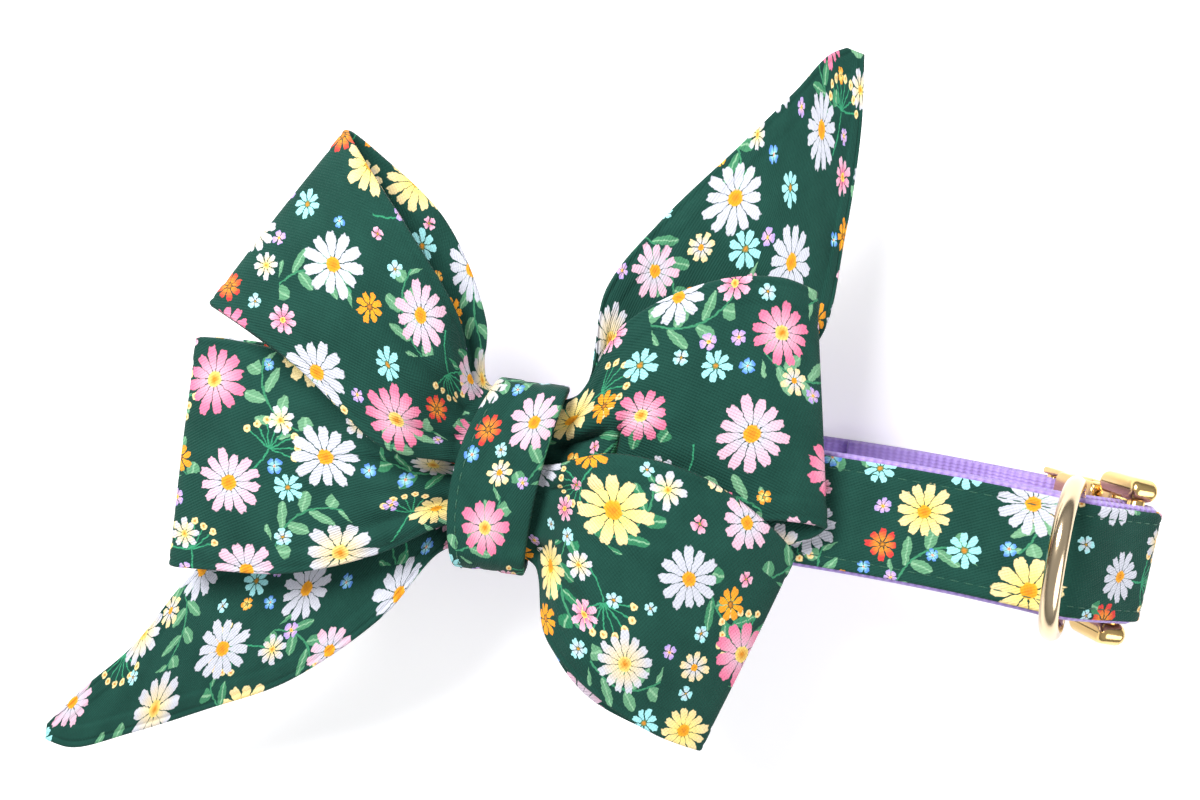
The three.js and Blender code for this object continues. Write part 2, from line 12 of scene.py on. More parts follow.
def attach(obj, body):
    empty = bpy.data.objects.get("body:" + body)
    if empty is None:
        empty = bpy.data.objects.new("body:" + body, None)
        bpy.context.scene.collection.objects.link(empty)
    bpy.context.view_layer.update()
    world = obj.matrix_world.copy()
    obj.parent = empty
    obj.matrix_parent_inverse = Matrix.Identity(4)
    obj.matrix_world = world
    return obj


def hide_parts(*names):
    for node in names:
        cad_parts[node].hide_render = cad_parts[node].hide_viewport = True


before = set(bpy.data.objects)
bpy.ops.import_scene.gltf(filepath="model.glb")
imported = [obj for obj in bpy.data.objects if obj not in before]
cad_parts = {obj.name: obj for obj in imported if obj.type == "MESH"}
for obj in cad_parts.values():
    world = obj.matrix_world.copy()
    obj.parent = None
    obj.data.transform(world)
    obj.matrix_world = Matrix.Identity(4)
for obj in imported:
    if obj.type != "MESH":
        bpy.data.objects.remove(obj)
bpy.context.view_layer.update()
MM = 0.001

# Driving dimensions
STRAP_WIDTH = 25.4
COVER_WIDTH = 23.6
WEB_THICK = 1.6
COVER_THICK = 0.9
GAP = 0.3
CLOTH_THICK = 1.4
RIBBON_WIDTH = 49
SEAT_Z = 38
RING_WIRE = 1.8
RING_HALF_BAND = 1.9
RING_INNER = 26.8
RING_DEPTH = 20
RING_LEAN = math.radians(24)
RING_PLAY = 0.85
BAR_RADIUS = 1.8
WRAP_RADIUS = 3.6
NEAR_BAR = (131.5, 38.5)
FAR_BAR = (124.5, 6.2)
BUCKLE_PITCH = math.hypot(NEAR_BAR[0] - FAR_BAR[0], NEAR_BAR[1] - FAR_BAR[1])
FACE_OFFSET = WEB_THICK / 2 + GAP + COVER_THICK
FLOOR_RUN_Z = FACE_OFFSET
RING_CREST_Z = SEAT_Z + 15.4 - FACE_OFFSET
RING_LAYER = WEB_THICK / 2 + RING_PLAY + RING_WIRE
RING_AT = (116.3, RING_CREST_Z - RING_LAYER)
BEND_FROM, BEND_TO, BEND_SLOPE = 72, 110, 0.055
STITCH_INSET = 2.4
SEAM_ALLOWANCE = 4.5
WELT_WIDTH = 1.7


# ---- Curves ----

def centripetal(points, t):
    """The point at t, from 0 to 1, on a centripetal Catmull-Rom curve through the points."""
    place = t * (len(points) - 1)
    i = min(int(place), len(points) - 2)
    w = place - i
    p1, p2 = points[i], points[i + 1]
    p0 = points[i - 1] if i > 0 else 2 * p1 - p2
    p3 = points[i + 2] if i + 2 < len(points) else 2 * p2 - p1
    d0, d1, d2 = (max(1e-4, np.linalg.norm(b - a)) ** 0.5 for a, b in ((p0, p1), (p1, p2), (p2, p3)))
    m1 = ((p1 - p0) / d0 - (p2 - p0) / (d0 + d1) + (p2 - p1) / d1) * d1
    m2 = ((p2 - p1) / d1 - (p3 - p1) / (d1 + d2) + (p3 - p2) / d2) * d1
    bend = -3 * p1 + 3 * p2 - 2 * m1 - m2
    return p1 + m1 * w + bend * w * w + (2 * p1 - 2 * p2 + m1 + m2) * w ** 3


def spline(points, spacing):
    """Evenly spaced points on a uniform Catmull-Rom curve through points in X and Z."""
    points = [np.array(p, float) for p in points]
    fine = []
    last = len(points) - 1
    for k in range(40 * last + 1):
        i = min(k // 40, last - 1)
        w = k / 40 - i
        p0, p1, p2, p3 = (points[max(0, min(last, i + s))] for s in (-1, 0, 1, 2))
        v1, v2 = (p2 - p0) / 2, (p3 - p1) / 2
        square = 3 * (p2 - p1) - 2 * v1 - v2
        cube = 2 * (p1 - p2) + v1 + v2
        fine.append(p1 + v1 * w + square * w * w + cube * w ** 3)
    return respaced(np.array(fine), spacing)


def lengths_along(line):
    return np.concatenate([[0], np.cumsum(np.linalg.norm(np.diff(line, axis=0), axis=1))])


def respaced(line, spacing):
    steps = lengths_along(line)
    count = max(2, round(steps[-1] / spacing))
    at = np.linspace(0, steps[-1], count + 1)
    return np.stack([np.interp(at, steps, line[:, k]) for k in range(line.shape[1])], axis=1)


def arc(centre, radius, start, end, steps):
    angles = np.radians(np.linspace(start, end, steps + 1))
    return np.stack([centre[0] + radius * np.cos(angles), centre[1] + radius * np.sin(angles)], axis=1)


# ---- Meshes ----

def smooth_step(x):
    x = np.clip(x, 0, 1)
    return x * x * (3 - 2 * x)


def bell(x, middle, width):
    """1 at the middle, falling smoothly to 0 on both sides."""
    return np.exp(-((x - middle) / width) ** 2)


def make_object(name, points, faces, uvs=None, smooth=True):
    """A mesh object from points in millimetres. uvs holds one pair for each face corner."""
    mesh = bpy.data.meshes.new(name)
    mesh.from_pydata((np.array(points) * MM).tolist(), [], faces)
    if uvs is not None:
        layer = mesh.uv_layers.new(name="Cloth")
        layer.data.foreach_set("uv", np.array(uvs, np.float32).ravel())
    mesh.polygons.foreach_set("use_smooth", [smooth] * len(mesh.polygons))
    mesh.update()
    thing = bpy.data.objects.new(name, mesh)
    bpy.context.scene.collection.objects.link(thing)
    return thing


def normals_of(grid, loop=False):
    if loop:
        along = np.roll(grid, -1, axis=0) - np.roll(grid, 1, axis=0)
    else:
        along = np.gradient(grid, axis=0)
    across = np.gradient(grid, axis=1)
    normal = np.cross(along, across)
    return normal / np.maximum(1e-9, np.linalg.norm(normal, axis=2, keepdims=True))


def cloth_sides(rows, columns, loop, uv):
    """Faces and their UVs on the two sides of a doubled cloth."""
    faces, uvs = [], []
    under_start = rows * columns
    for i in range(rows if loop else rows - 1):
        k = (i + 1) % rows
        for j in range(columns - 1):
            faces.append((i * columns + j, k * columns + j, k * columns + j + 1, i * columns + j + 1))
            uvs += [uv(i, j, 0), uv(i + 1, j, 0), uv(i + 1, j + 1, 0), uv(i, j + 1, 0)]
            beneath = (i * columns + j, i * columns + j + 1, k * columns + j + 1, k * columns + j)
            faces.append(tuple(under_start + n for n in beneath))
            uvs += [uv(i, j, 1), uv(i, j + 1, 1), uv(i + 1, j + 1, 1), uv(i + 1, j, 1)]
    return faces, uvs


def cloth_ends(rows, columns, uv):
    """Faces and their UVs that close the first and last rows of a doubled cloth."""
    faces, uvs = [], []
    under_start = rows * columns
    for i, flip in ((0, False), (rows - 1, True)):
        for j in range(columns - 1):
            a, b = i * columns + j, i * columns + j + 1
            corner = (a, b, under_start + b, under_start + a)
            faces.append(corner[::-1] if flip else corner)
            pairs = [uv(i, j, 0), uv(i, j + 1, 0), uv(i, j + 1, 0), uv(i, j, 0)]
            uvs += pairs[::-1] if flip else pairs
    return faces, uvs


def cloth_object(name, grid, half, across, loop=False, uv_origin=(0, 0), under=(230, 70)):
    """A doubled cloth with round edges: the grid is its middle surface, half its half thickness at
    each point, and across each point's place across the cloth in millimetres."""
    rows, columns = grid.shape[:2]
    across = np.broadcast_to(across, (rows, columns))
    normal = normals_of(grid, loop)
    top, bottom = grid + normal * half[..., None], grid - normal * half[..., None]
    points = np.concatenate([top.reshape(-1, 3), bottom.reshape(-1, 3)])
    middle = grid[:, columns // 2]
    if loop:
        middle = np.concatenate([middle, middle[:1]])
    run = lengths_along(middle)

    def uv(i, j, below):
        u = run[i] + uv_origin[0] + (under[0] if below else 0)
        v = across[i % rows, j] + uv_origin[1] + (under[1] if below else 0)
        return u / 100, v / 100

    faces, uvs = cloth_sides(rows, columns, loop, uv)
    if not loop:
        end_faces, end_uvs = cloth_ends(rows, columns, uv)
        faces, uvs = faces + end_faces, uvs + end_uvs
    cloth = make_object(name, points, faces, uvs)
    closed = cloth.modifiers.new("Edges", "WELD")
    closed.merge_threshold = 0.02 * MM
    return cloth


def dress(piece, nodes, material, body="collar"):
    """The piece rides on its body, stands for its CAD nodes and gets its finish."""
    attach(piece, body)
    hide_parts(*nodes)
    piece.data.materials.append(material)


def edge_spacing(columns):
    """Places across a cloth from 0 to 1, closer together at its two edges."""
    even = np.linspace(0, 1, columns + 1)
    return 0.45 * even + 0.55 * (0.5 - 0.5 * np.cos(math.pi * even))


def tube_half(width, v, thickness, seam=0.16, welt=0.0):
    """Half the thickness of a turned and stitched tube of cloth across it: round edges, a fuller
    strip along each edge where the seam allowance lies inside, and a groove beside the seam's welt."""
    inside = width * np.minimum(v, 1 - v)
    round_edge = np.sqrt(np.maximum(0, 1 - np.clip(1 - inside / (0.55 * thickness), 0, 1) ** 2))
    allowance = seam * (1 - smooth_step((inside - SEAM_ALLOWANCE) / 1.6))
    groove = 0.12 * bell(inside, SEAM_ALLOWANCE + 1.1, 0.5) + welt * bell(inside, WELT_WIDTH, 0.4)
    return round_edge * (thickness / 2 + allowance - groove)


def ripple(points, size, seed):
    """Smooth noise from about -1 to 1 at each point of a grid."""
    places = points.reshape(-1, 3) / size + np.array([17.3, -9.1, 3.7]) * seed
    values = [noise.noise(Vector(place)) for place in places]
    return np.array(values).reshape(points.shape[:2])


# ---- The bow ----

SPLIT_X = 1.5
TAIL_Z, UNDER_BACK, UNDER_FRONT, OVER_BACK, OVER_FRONT = 4.5, 6.4, 8.3, 10.2, 12.1

# Stations along each ribbon, from inside the knot out to the fold and back: the two edges' places
# with heights above the strap, and how far the ribbon's middle rises between them.
LOOP_UPPER_LEFT = [
    ((-SPLIT_X, -1, OVER_FRONT), (-SPLIT_X, 15.2, OVER_FRONT), 0),
    ((-12, 0.5, 12.6), (-9.5, 17.5, 12.6), 0.4),
    ((-25, 2.5, 19.5), (-14, 31, 19), 2.5),
    ((-44, 16.5, 22), (-25, 46, 21), 2.5),
    ((-57, 23, 19.5), (-36, 58.5, 18.5), 1.5),
    ((-64, 25.5, 15.8), (-41, 64.5, 13.5), 0.5),
    ((-57, 21.5, 13), (-35, 61, 9.5), 0),
    ((-42, 13.5, 14.2), (-20, 49.5, 8.5), -0.5),
    ((-25, 3.5, 13.6), (-9, 30.5, 9.5), 0),
    ((-12, 0, 11), (-7, 18, 10.5), 0),
    ((-SPLIT_X, -1, OVER_BACK), (-SPLIT_X, 15.5, OVER_BACK), 0),
]
LOOP_LOWER_LEFT = [
    ((-SPLIT_X, -13, UNDER_FRONT), (-SPLIT_X, 3, UNDER_FRONT), 0),
    ((-12.5, -13.5, 8.8), (-11.5, 3, 8.6), 0.5),
    ((-24, -20.5, 11), (-25, 8.5, 9.8), 2.5),
    ((-42, -27.5, 11), (-44, 17, 9.8), 3),
    ((-60, -30, 8.5), (-61, 19, 9), 2),
    ((-69, -31, 5.5), (-68.5, 18.5, 6.5), 0.5),
    ((-60, -29.5, 3), (-60, 19, 4), 0),
    ((-42, -25, 4), (-42, 17.5, 4.4), 0),
    ((-24, -17, 6), (-24, 9.5, 5.6), 0),
    ((-12.5, -13, 6.6), (-11.5, 4.5, 6.4), 0),
    ((-SPLIT_X, -12.5, UNDER_BACK), (-SPLIT_X, 4, UNDER_BACK), 0),
]
LOOP_UPPER_RIGHT = [
    ((SPLIT_X, -3, UNDER_FRONT), (SPLIT_X, 12.5, UNDER_FRONT), 0),
    ((10, -3, 8.6), (12, 17.5, 9.3), 0.5),
    ((24, -4.5, 9.8), (20, 34, 15), 2.2),
    ((42, -5, 11), (36, 44.5, 17), 3),
    ((57, -2, 13), (49.5, 47, 15.5), 1.5),
    ((66, -3, 10.5), (56.5, 45.5, 12), 0.5),
    ((60, -7.5, 7.6), (50, 47, 8.6), 0),
    ((42, -8, 6.2), (36, 44, 7), 0),
    ((24, -5, 6), (20, 33, 6.8), 0),
    ((10, -3, 6.4), (12, 17, 6.4), 0),
    ((SPLIT_X, -3, UNDER_BACK), (SPLIT_X, 13, UNDER_BACK), 0),
]
LOOP_LOWER_RIGHT = [
    ((SPLIT_X, -16, OVER_FRONT), (SPLIT_X, 1.5, OVER_FRONT), 0),
    ((8.5, -19, 12.6), (9, 3, 12.8), 0.3),
    ((13, -32, 19), (21, 8, 22.5), 2.5),
    ((25, -42, 20.5), (37, 6.5, 23), 2.5),
    ((37, -48.5, 17.5), (52, -1, 20), 1.5),
    ((46.5, -52, 13), (60, -8, 15), 0.5),
    ((36, -50.5, 9), (50, -2.5, 15.6), 0),
    ((22, -45, 8.5), (36, 2.5, 15.6), -0.5),
    ((12, -33, 9.5), (20, 3.5, 14.8), 0),
    ((8.5, -19, 10.4), (9, 2, 11.2), 0),
    ((SPLIT_X, -15.5, OVER_BACK), (SPLIT_X, 1, OVER_BACK), 0),
]

# Folds pressed into the loops by the knot: where each starts and ends, its depth and half width
FOLDS_LOWER_LEFT = [
    ((-12, -3), (-34, -1), 1.7, 1.8),
    ((-12, -9), (-32, -17), 0.9, 1.6),
]
FOLDS_UPPER_RIGHT = [
    ((10.5, 6), (21.5, 12), 3.0, 1.5),
    ((21.5, 7), (22, 14), 2.0, 1.0),
    ((11, 10), (19, 24), 1.1, 1.5),
]
FOLDS_UPPER_LEFT = [
    ((-11, 12), (-25, 26), 1.4, 1.7),
    ((-12, 5), (-27, 9), 1.0, 1.7),
    ((-8, 15), (-15, 33), 1.1, 1.6),
]
FOLDS_LOWER_RIGHT = [
    ((8.4, -15), (10, -15.6), 2.2, 1.7),
    ((10, -15), (21, -25), 1.2, 1.7),
    ((11, -2), (24, 1), 1.3, 1.5),
]

TAIL_LOWER_LEFT = [
    ((-SPLIT_X, -16, TAIL_Z), (-SPLIT_X, -5, TAIL_Z), 0),
    ((-12.5, -20, 4.4), (-12, -6, 4.4), 0),
    ((-23, -35.5, 3.5), (-27, -12, 3), 1),
    ((-43, -54.5, -2), (-46, -21, 0.5), 2),
    ((-61.5, -65, -6.5), (-63.5, -30, -3), 2),
    ((-79, -74, -9), (-80, -53.5, -8), 1),
    ((-92, -79.5, -10), (-91.5, -66, -9.5), 0.3),
    ((-98.5, -78.5, -10), (-98.5, -75, -10), 0),
]
TAIL_UPPER_RIGHT = [
    ((SPLIT_X, 14, TAIL_Z), (SPLIT_X, 5, TAIL_Z), 0),
    ((12.5, 18, 4.3), (13, 6, 4.2), 0),
    ((14.5, 40, 2.6), (28, 14, 3), 0.5),
    ((24, 56, -1), (46, 25, 2.5), 2),
    ((39, 75, -5.5), (60, 34, 0), 2),
    ((49, 88, -7), (63.5, 58, -5), 1),
    ((55, 96.5, -8), (64, 81, -7), 0.3),
    ((58.5, 98.5, -8), (62.5, 97.5, -8), 0),
]


def fold_depth(grid, folds):
    """How far the cloth is pressed down along each fold, with a low ridge beside it."""
    depth = np.zeros(grid.shape[:2])
    for start, end, deep, width in folds:
        start, end = np.array(start, float), np.array(end, float)
        run = end - start
        length = np.linalg.norm(run)
        away = grid[..., :2] - start
        along = np.clip(away @ run / length ** 2, 0, 1)
        near = away - along[..., None] * run
        side = (near[..., 0] * -run[1] + near[..., 1] * run[0]) / length
        distance = np.linalg.norm(near, axis=2)
        fade = 1 - smooth_step((along - 0.5) / 0.5) * 0.7
        valley = bell(distance, 0, width)
        ridge = 0.45 * bell(side, 2.1 * width, width) * bell(distance, 0, 3 * width)
        depth += deep * fade * (valley - ridge)
    return depth


def ribbon_grid(stations, rows, columns, pleats, pleat_depth, seed, folds=()):
    """The middle surface of a ribbon, with the CAD's curves, its pleats by the knot and soft creases."""
    lift = np.array([0, 0, SEAT_Z])
    edge_a = [np.array(s[0], float) + lift for s in stations]
    edge_b = [np.array(s[1], float) + lift for s in stations]
    crowns = [s[2] for s in stations]
    v = edge_spacing(columns)
    grid = np.zeros((rows + 1, columns + 1, 3))
    for i in range(rows + 1):
        t = i / rows
        a, b = centripetal(edge_a, t), centripetal(edge_b, t)
        crown = np.interp(t * (len(stations) - 1), range(len(stations)), crowns)
        grid[i] = a + (b - a) * v[:, None]
        outside = np.abs(grid[i, :, 0]) - 10
        opened = np.clip(1 - np.abs(outside - 9) / 12, 0, 1)
        waves = np.sin(2 * math.pi * pleats * v)
        grid[i, :, 2] += 4 * v * (1 - v) * crown + pleat_depth * opened * waves
    away = smooth_step((np.linalg.norm(grid[..., :2], axis=2) - 11) / 12)
    near = away * (1 - smooth_step((np.linalg.norm(grid[..., :2], axis=2) - 26) / 22))
    # Creases run out from the knot, so they vary quickly round it and slowly away from it.
    turn = np.arctan2(grid[..., 1], grid[..., 0])
    out = np.linalg.norm(grid[..., :2], axis=2)
    rays = ripple(np.stack([turn * 7, out / 26, np.zeros_like(out)], axis=2), 1, seed)
    soft = ripple(grid, 17, seed + 2)
    grid[..., 2] += 1.1 * near * rays + 0.55 * away * soft
    front = (np.arange(rows + 1) < rows / 2)[:, None]
    grid[..., 2] -= front * fold_depth(grid, folds)
    return grid, v


def loop_piece(node, stations, seed, uv_origin, folds):
    grid, v = ribbon_grid(stations, 220, 80, 1.5, 0.5, seed, folds)
    width = np.linalg.norm(grid[:, -1] - grid[:, 0], axis=1)[:, None]
    half = tube_half(width, v[None], CLOTH_THICK, 0.16, 0.16)
    # Half of the gather towards the knot lies in hidden folds, and half squeezes the print.
    shown = (v - 0.5) * (RIBBON_WIDTH + width) / 2
    piece = cloth_object(node + "_ribbon", grid, half, shown, uv_origin=uv_origin)
    finish_ribbon(piece, node, grid)


def tail_piece(node, stations, seed, uv_origin):
    grid, v = ribbon_grid(stations, 120, 72, 0, 0, seed)
    width = np.linalg.norm(grid[:, -1] - grid[:, 0], axis=1)[:, None]
    half = tube_half(width, v[None], CLOTH_THICK, 0.28, 0.3)
    run = lengths_along(grid[:, len(v) // 2])
    end = np.sqrt(np.clip((run[-1] - run) / 0.8, 0, 1))[:, None]
    piece = cloth_object(node + "_ribbon", grid, half * end, (v - 0.5) * width, uv_origin=uv_origin)
    finish_ribbon(piece, node, grid)


def finish_ribbon(piece, node, grid):
    along, across = np.gradient(grid, axis=0), np.gradient(grid, axis=1)
    length = lengths_along(grid[:, grid.shape[1] // 2])[-1]
    dress(piece, [node], PRINT)


KNOT_TOP, KNOT_BASE, KNOT_HALF, KNOT_Y, KNOT_CROWN = 14.6, 2.4, 19.3, -1.3, 2.6
KNOT_CLOTH, KNOT_PRINT_WIDTH, KNOT_FLAT_WIDTH = 1.2, 22, 18.5
KEEPER_CLEAR, KEEPER_WIDTH = 1.1, 14.0


def band_outline(top, bottom, half_width, top_radius, base_radius, steps):
    """Evenly spaced points in Y and Z round a rounded rectangle, from the middle of its base."""
    corners = [
        ((half_width - base_radius, bottom + base_radius), base_radius, -90, 0),
        ((half_width - top_radius, top - top_radius), top_radius, 0, 90),
        ((-half_width + top_radius, top - top_radius), top_radius, 90, 180),
        ((-half_width + base_radius, bottom + base_radius), base_radius, 180, 270),
    ]
    ends = [np.array([[0, bottom]])]
    line = np.concatenate([*ends, *[arc(*corner, 12) for corner in corners], *ends])
    return respaced(line, lengths_along(line)[-1] / steps)[:-1]


def band_grid(outline, middle_y, half_width, crown, edges, columns):
    bottom, top = outline[:, 1].min(), outline[:, 1].max()
    v = edge_spacing(columns)
    front = np.clip((outline[:, 1] - (top + bottom) / 2) / ((top - bottom) / 2), 0, 1)
    u = outline[:, 0] / half_width
    rise = crown * front * np.cos(u * math.pi / 2)
    left, right = edges(u)
    x = left[:, None] + (right - left)[:, None] * v
    y = np.repeat(middle_y + outline[:, :1], len(v), axis=1)
    z = outline[:, 1:] + rise[:, None] * (0.55 + 1.8 * v * (1 - v))
    return np.stack([x, y, z], axis=2), v


def knot_piece():
    outline = band_outline(SEAT_Z + KNOT_TOP, SEAT_Z + KNOT_BASE, KNOT_HALF, 4.5, 2.4, 180)

    def edges(u):
        """The band's left and right edges at a place round it, which bow apart at its two ends."""
        return -11 + 2 * u + 4 * u * u, 6.6 + 2 * u + 1.4 * u * u

    grid, v = band_grid(outline, KNOT_Y, KNOT_HALF, KNOT_CROWN, edges, 40)
    front = smooth_step((grid[..., 2] - SEAT_Z - 9) / 4)
    stretched = grid * np.array([0.35, 1.0, 0.6])
    grid[..., 2] += 0.3 * front * ripple(stretched, 4.2, 5)
    width = (grid[:, -1, 0] - grid[:, 0, 0])[:, None]
    half = tube_half(width, v[None], KNOT_CLOTH, 0.2)
    across = (v - 0.5) * KNOT_PRINT_WIDTH
    piece = cloth_object("knot_band_cloth", grid, half, across, loop=True, uv_origin=(505, 333))
    dress(piece, ["knot_band"], PRINT)
    length = lengths_along(np.concatenate([grid[:, 20], grid[:1, 20]]))[-1]
    knot_stitches(grid, half, v)


def knot_stitches(grid, half, v):
    """A row of stitches along the left edge of the knot's front."""
    j = int(np.argmin(np.abs(v * 18 - 2.2)))
    rows = [i for i in range(len(grid)) if grid[i, 3, 2] > SEAT_Z + 8]
    normal = normals_of(grid, True)
    outward = np.sign(normal[rows[len(rows) // 2], 3, 2])
    line = np.array([grid[i, j] + outward * normal[i, j] * (half[i, j] + 0.02) for i in rows])
    face = np.array([outward * normal[i, j] for i in rows])
    stitches("knot_stitches", [(line, face)], 2.0, 0.8, 0.15, THREAD)


def keeper_piece():
    half_width = STRAP_WIDTH / 2 + KEEPER_CLEAR
    bottom = SEAT_Z - FACE_OFFSET - WEB_THICK / 2 - KEEPER_CLEAR
    outline = band_outline(SEAT_Z + 1, bottom, half_width, 1.2, 1.2, 120)
    grid, v = band_grid(outline, 0, half_width, 0, lambda u: (-8 + 0 * u, 6 + 0 * u), 16)
    half = tube_half(np.full((len(grid), 1), KEEPER_WIDTH), v[None], 0.8, 0)
    piece = cloth_object("bow_keeper_elastic", grid, half, (v - 0.5) * KEEPER_WIDTH, loop=True)
    dress(piece, ["bow_keeper"], ELASTIC)


# ---- The strap ----

def strap_lines():
    """The webbing's middle line in X and Z: the near return, the covered stretch, the far return."""
    fold_end = (RING_AT[0], RING_AT[1] - RING_LAYER)
    near_return = spline([(94, 44.2), (105, 46.9), (111, 45.6), fold_end], 0.9)
    near_wrap = arc(NEAR_BAR, WRAP_RADIUS, -121, 59, 26)
    front = spline([
        (124.5, 47.4), (RING_AT[0], RING_CREST_Z), (107, 49.4), (90, 45.4), (64, 40.8), (32, 37.4),
        (0, SEAT_Z - FACE_OFFSET), (-22, 36.2)], 1.2)
    left = arc((-39, FLOOR_RUN_Z + 17.2), 17.2, 96, 262, 44)
    floor_run = spline([(-30, FLOOR_RUN_Z), (40, FLOOR_RUN_Z), (100, FLOOR_RUN_Z)], 2)
    far_wrap = arc(FAR_BAR, WRAP_RADIUS, -96, 90, 26)
    lap = FLOOR_RUN_Z + WEB_THICK + GAP
    far_return = spline([
        (FAR_BAR[0] - 6, FAR_BAR[1] + 2.2), (FAR_BAR[0] - 14, lap + 0.6), (FAR_BAR[0] - 20, lap),
        (76, lap)], 1.2)
    covered = np.concatenate([near_wrap, front, left, floor_run, far_wrap])
    return near_return, covered, far_return


def bent(x, y, z):
    """The point at x and z that lies y to the side of the strap's middle."""
    run = BEND_TO - BEND_FROM
    inside = np.clip(x - BEND_FROM, 0, run)
    middle = -BEND_SLOPE * (inside ** 2 / (2 * run) + np.maximum(0, x - BEND_TO))
    slope = -BEND_SLOPE * inside / run
    length = np.hypot(1, slope)
    return np.stack([x - y * slope / length, middle + y / length, z], axis=-1)


def strip_grid(line, across, offset):
    """Points across the strap at each point of its line, offset to its outer side."""
    along = np.gradient(line, axis=0)
    along /= np.linalg.norm(along, axis=1, keepdims=True)
    x = line[:, 0] + along[:, 1] * offset
    z = line[:, 1] - along[:, 0] * offset
    return bent(x[:, None] + 0 * across, across + 0 * x[:, None], z[:, None] + 0 * across)


def webbing_piece(line):
    v = edge_spacing(20)
    across = (v - 0.5) * STRAP_WIDTH
    grid = strip_grid(line, across, 0)
    half = tube_half(np.full((len(grid), 1), STRAP_WIDTH), v[None], WEB_THICK, 0)
    web = cloth_object("woven_webbing", grid, half, across, under=(0, 0))
    dress(web, ["strap_webbing"], WEBBING)


def cover_piece(line):
    v = edge_spacing(34)
    across = (v - 0.5) * COVER_WIDTH
    grid = strip_grid(line, across, WEB_THICK / 2 + GAP + COVER_THICK / 2)
    inside = COVER_WIDTH * np.minimum(v, 1 - v)[None]
    # The cover is drawn down along its two stitch lines and puffs a little between them.
    pull = 0.22 * bell(inside, STITCH_INSET, 0.5)
    half = tube_half(np.full((len(grid), 1), COVER_WIDTH), v[None], COVER_THICK, 0.05) - pull
    half = np.maximum(0.02, half + 0.05 * ripple(grid, 5, 8) * (inside > 1))
    # Where it lies on the floor it isn't thicker than the height of its middle.
    half = np.minimum(half, np.maximum(0.02, grid[..., 2]))
    cover = cloth_object("strap_cover_cloth", grid, half, across, uv_origin=(60, 40))
    dress(cover, ["strap_cover", "strap_cover_back"], PRINT)
    lengths_along(line)[-1] * MM


def cover_stitches(line):
    rows = []
    for side in (-1, 1):
        y = np.array([side * (COVER_WIDTH / 2 - STITCH_INSET)])
        low = strip_grid(line, y, WEB_THICK / 2 + GAP)[:, 0]
        high = strip_grid(line, y, FACE_OFFSET - 0.16)[:, 0]
        face = high - low
        rows.append((high, face / np.linalg.norm(face, axis=1, keepdims=True)))
    stitches("cover_stitches", rows, 2.2, 0.7, 0.13, THREAD)


def strap_pieces():
    near_return, covered, far_return = strap_lines()
    webbing_piece(respaced(np.concatenate([near_return, covered, far_return]), 1.1))
    cover_line = respaced(covered, 1.0)
    cover_piece(cover_line)
    cover_stitches(cover_line)


def sampled(line, run, at):
    """The point on the line at a length along it."""
    return np.array([np.interp(at, run, line[:, c]) for c in range(3)])


def stitches(name, rows, long, space, radius, thread):
    """Thread lying along each line in stitches whose two ends go down into the cloth."""
    points, faces = [], []
    sides, rings = 6, 5
    for line, face in rows:
        run = lengths_along(line)
        start = 0.6
        while start + long < run[-1]:
            first = len(points)
            for k in range(rings):
                w = k / (rings - 1)
                at = start + long * w
                place = sampled(line, run, at)
                up = sampled(face, run, at)
                ahead = sampled(line, run, at + 0.1) - place
                ahead /= max(1e-9, np.linalg.norm(ahead))
                aside = np.cross(ahead, up)
                swell = 0.55 + 0.45 * math.sin(math.pi * w)
                place = place + up * radius * (math.sin(math.pi * w) * 1.1 - 0.5)
                for s in range(sides):
                    angle = 2 * math.pi * s / sides
                    spoke = math.cos(angle) * aside + math.sin(angle) * up
                    points.append(place + radius * swell * spoke)
            for k in range(rings - 1):
                for s in range(sides):
                    a, b = first + k * sides + s, first + k * sides + (s + 1) % sides
                    faces.append((a, b, b + sides, a + sides))
            faces.append(tuple(first + s for s in range(sides))[::-1])
            faces.append(tuple(first + (rings - 1) * sides + s for s in range(sides)))
            start += long + space
    piece = make_object(name, points, faces)
    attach(piece, "collar")
    piece.data.materials.append(thread)


# ---- The gold hardware ----

def bezier(controls, count):
    """count points on the Bezier curve of the controls, without its end."""
    w = np.linspace(0, 1, count, endpoint=False)[:, None]
    points = [np.array(control, float) for control in controls]
    while len(points) > 1:
        points = [a + (b - a) * w for a, b in zip(points, points[1:])]
    return points[0]


def ring_outline(steps):
    """Points in Y and height round the D: its bar, then its bow."""
    half, corner = RING_INNER / 2 + RING_WIRE, 3.4
    shoulder, crest = RING_DEPTH * 0.72, half * 0.62
    line = np.concatenate([
        [(-half + corner, 0)],
        bezier([(half - corner, 0), (half, 0), (half, corner)], 12),
        bezier([(half, corner), (half, shoulder), (crest, RING_DEPTH), (0, RING_DEPTH)], 40),
        bezier([(0, RING_DEPTH), (-crest, RING_DEPTH), (-half, shoulder), (-half, corner)], 40),
        bezier([(-half, corner), (-half, 0), (-half + corner, 0)], 12),
        [(-half + corner, 0)],
    ])
    return respaced(line, lengths_along(line)[-1] / steps)[:-1]


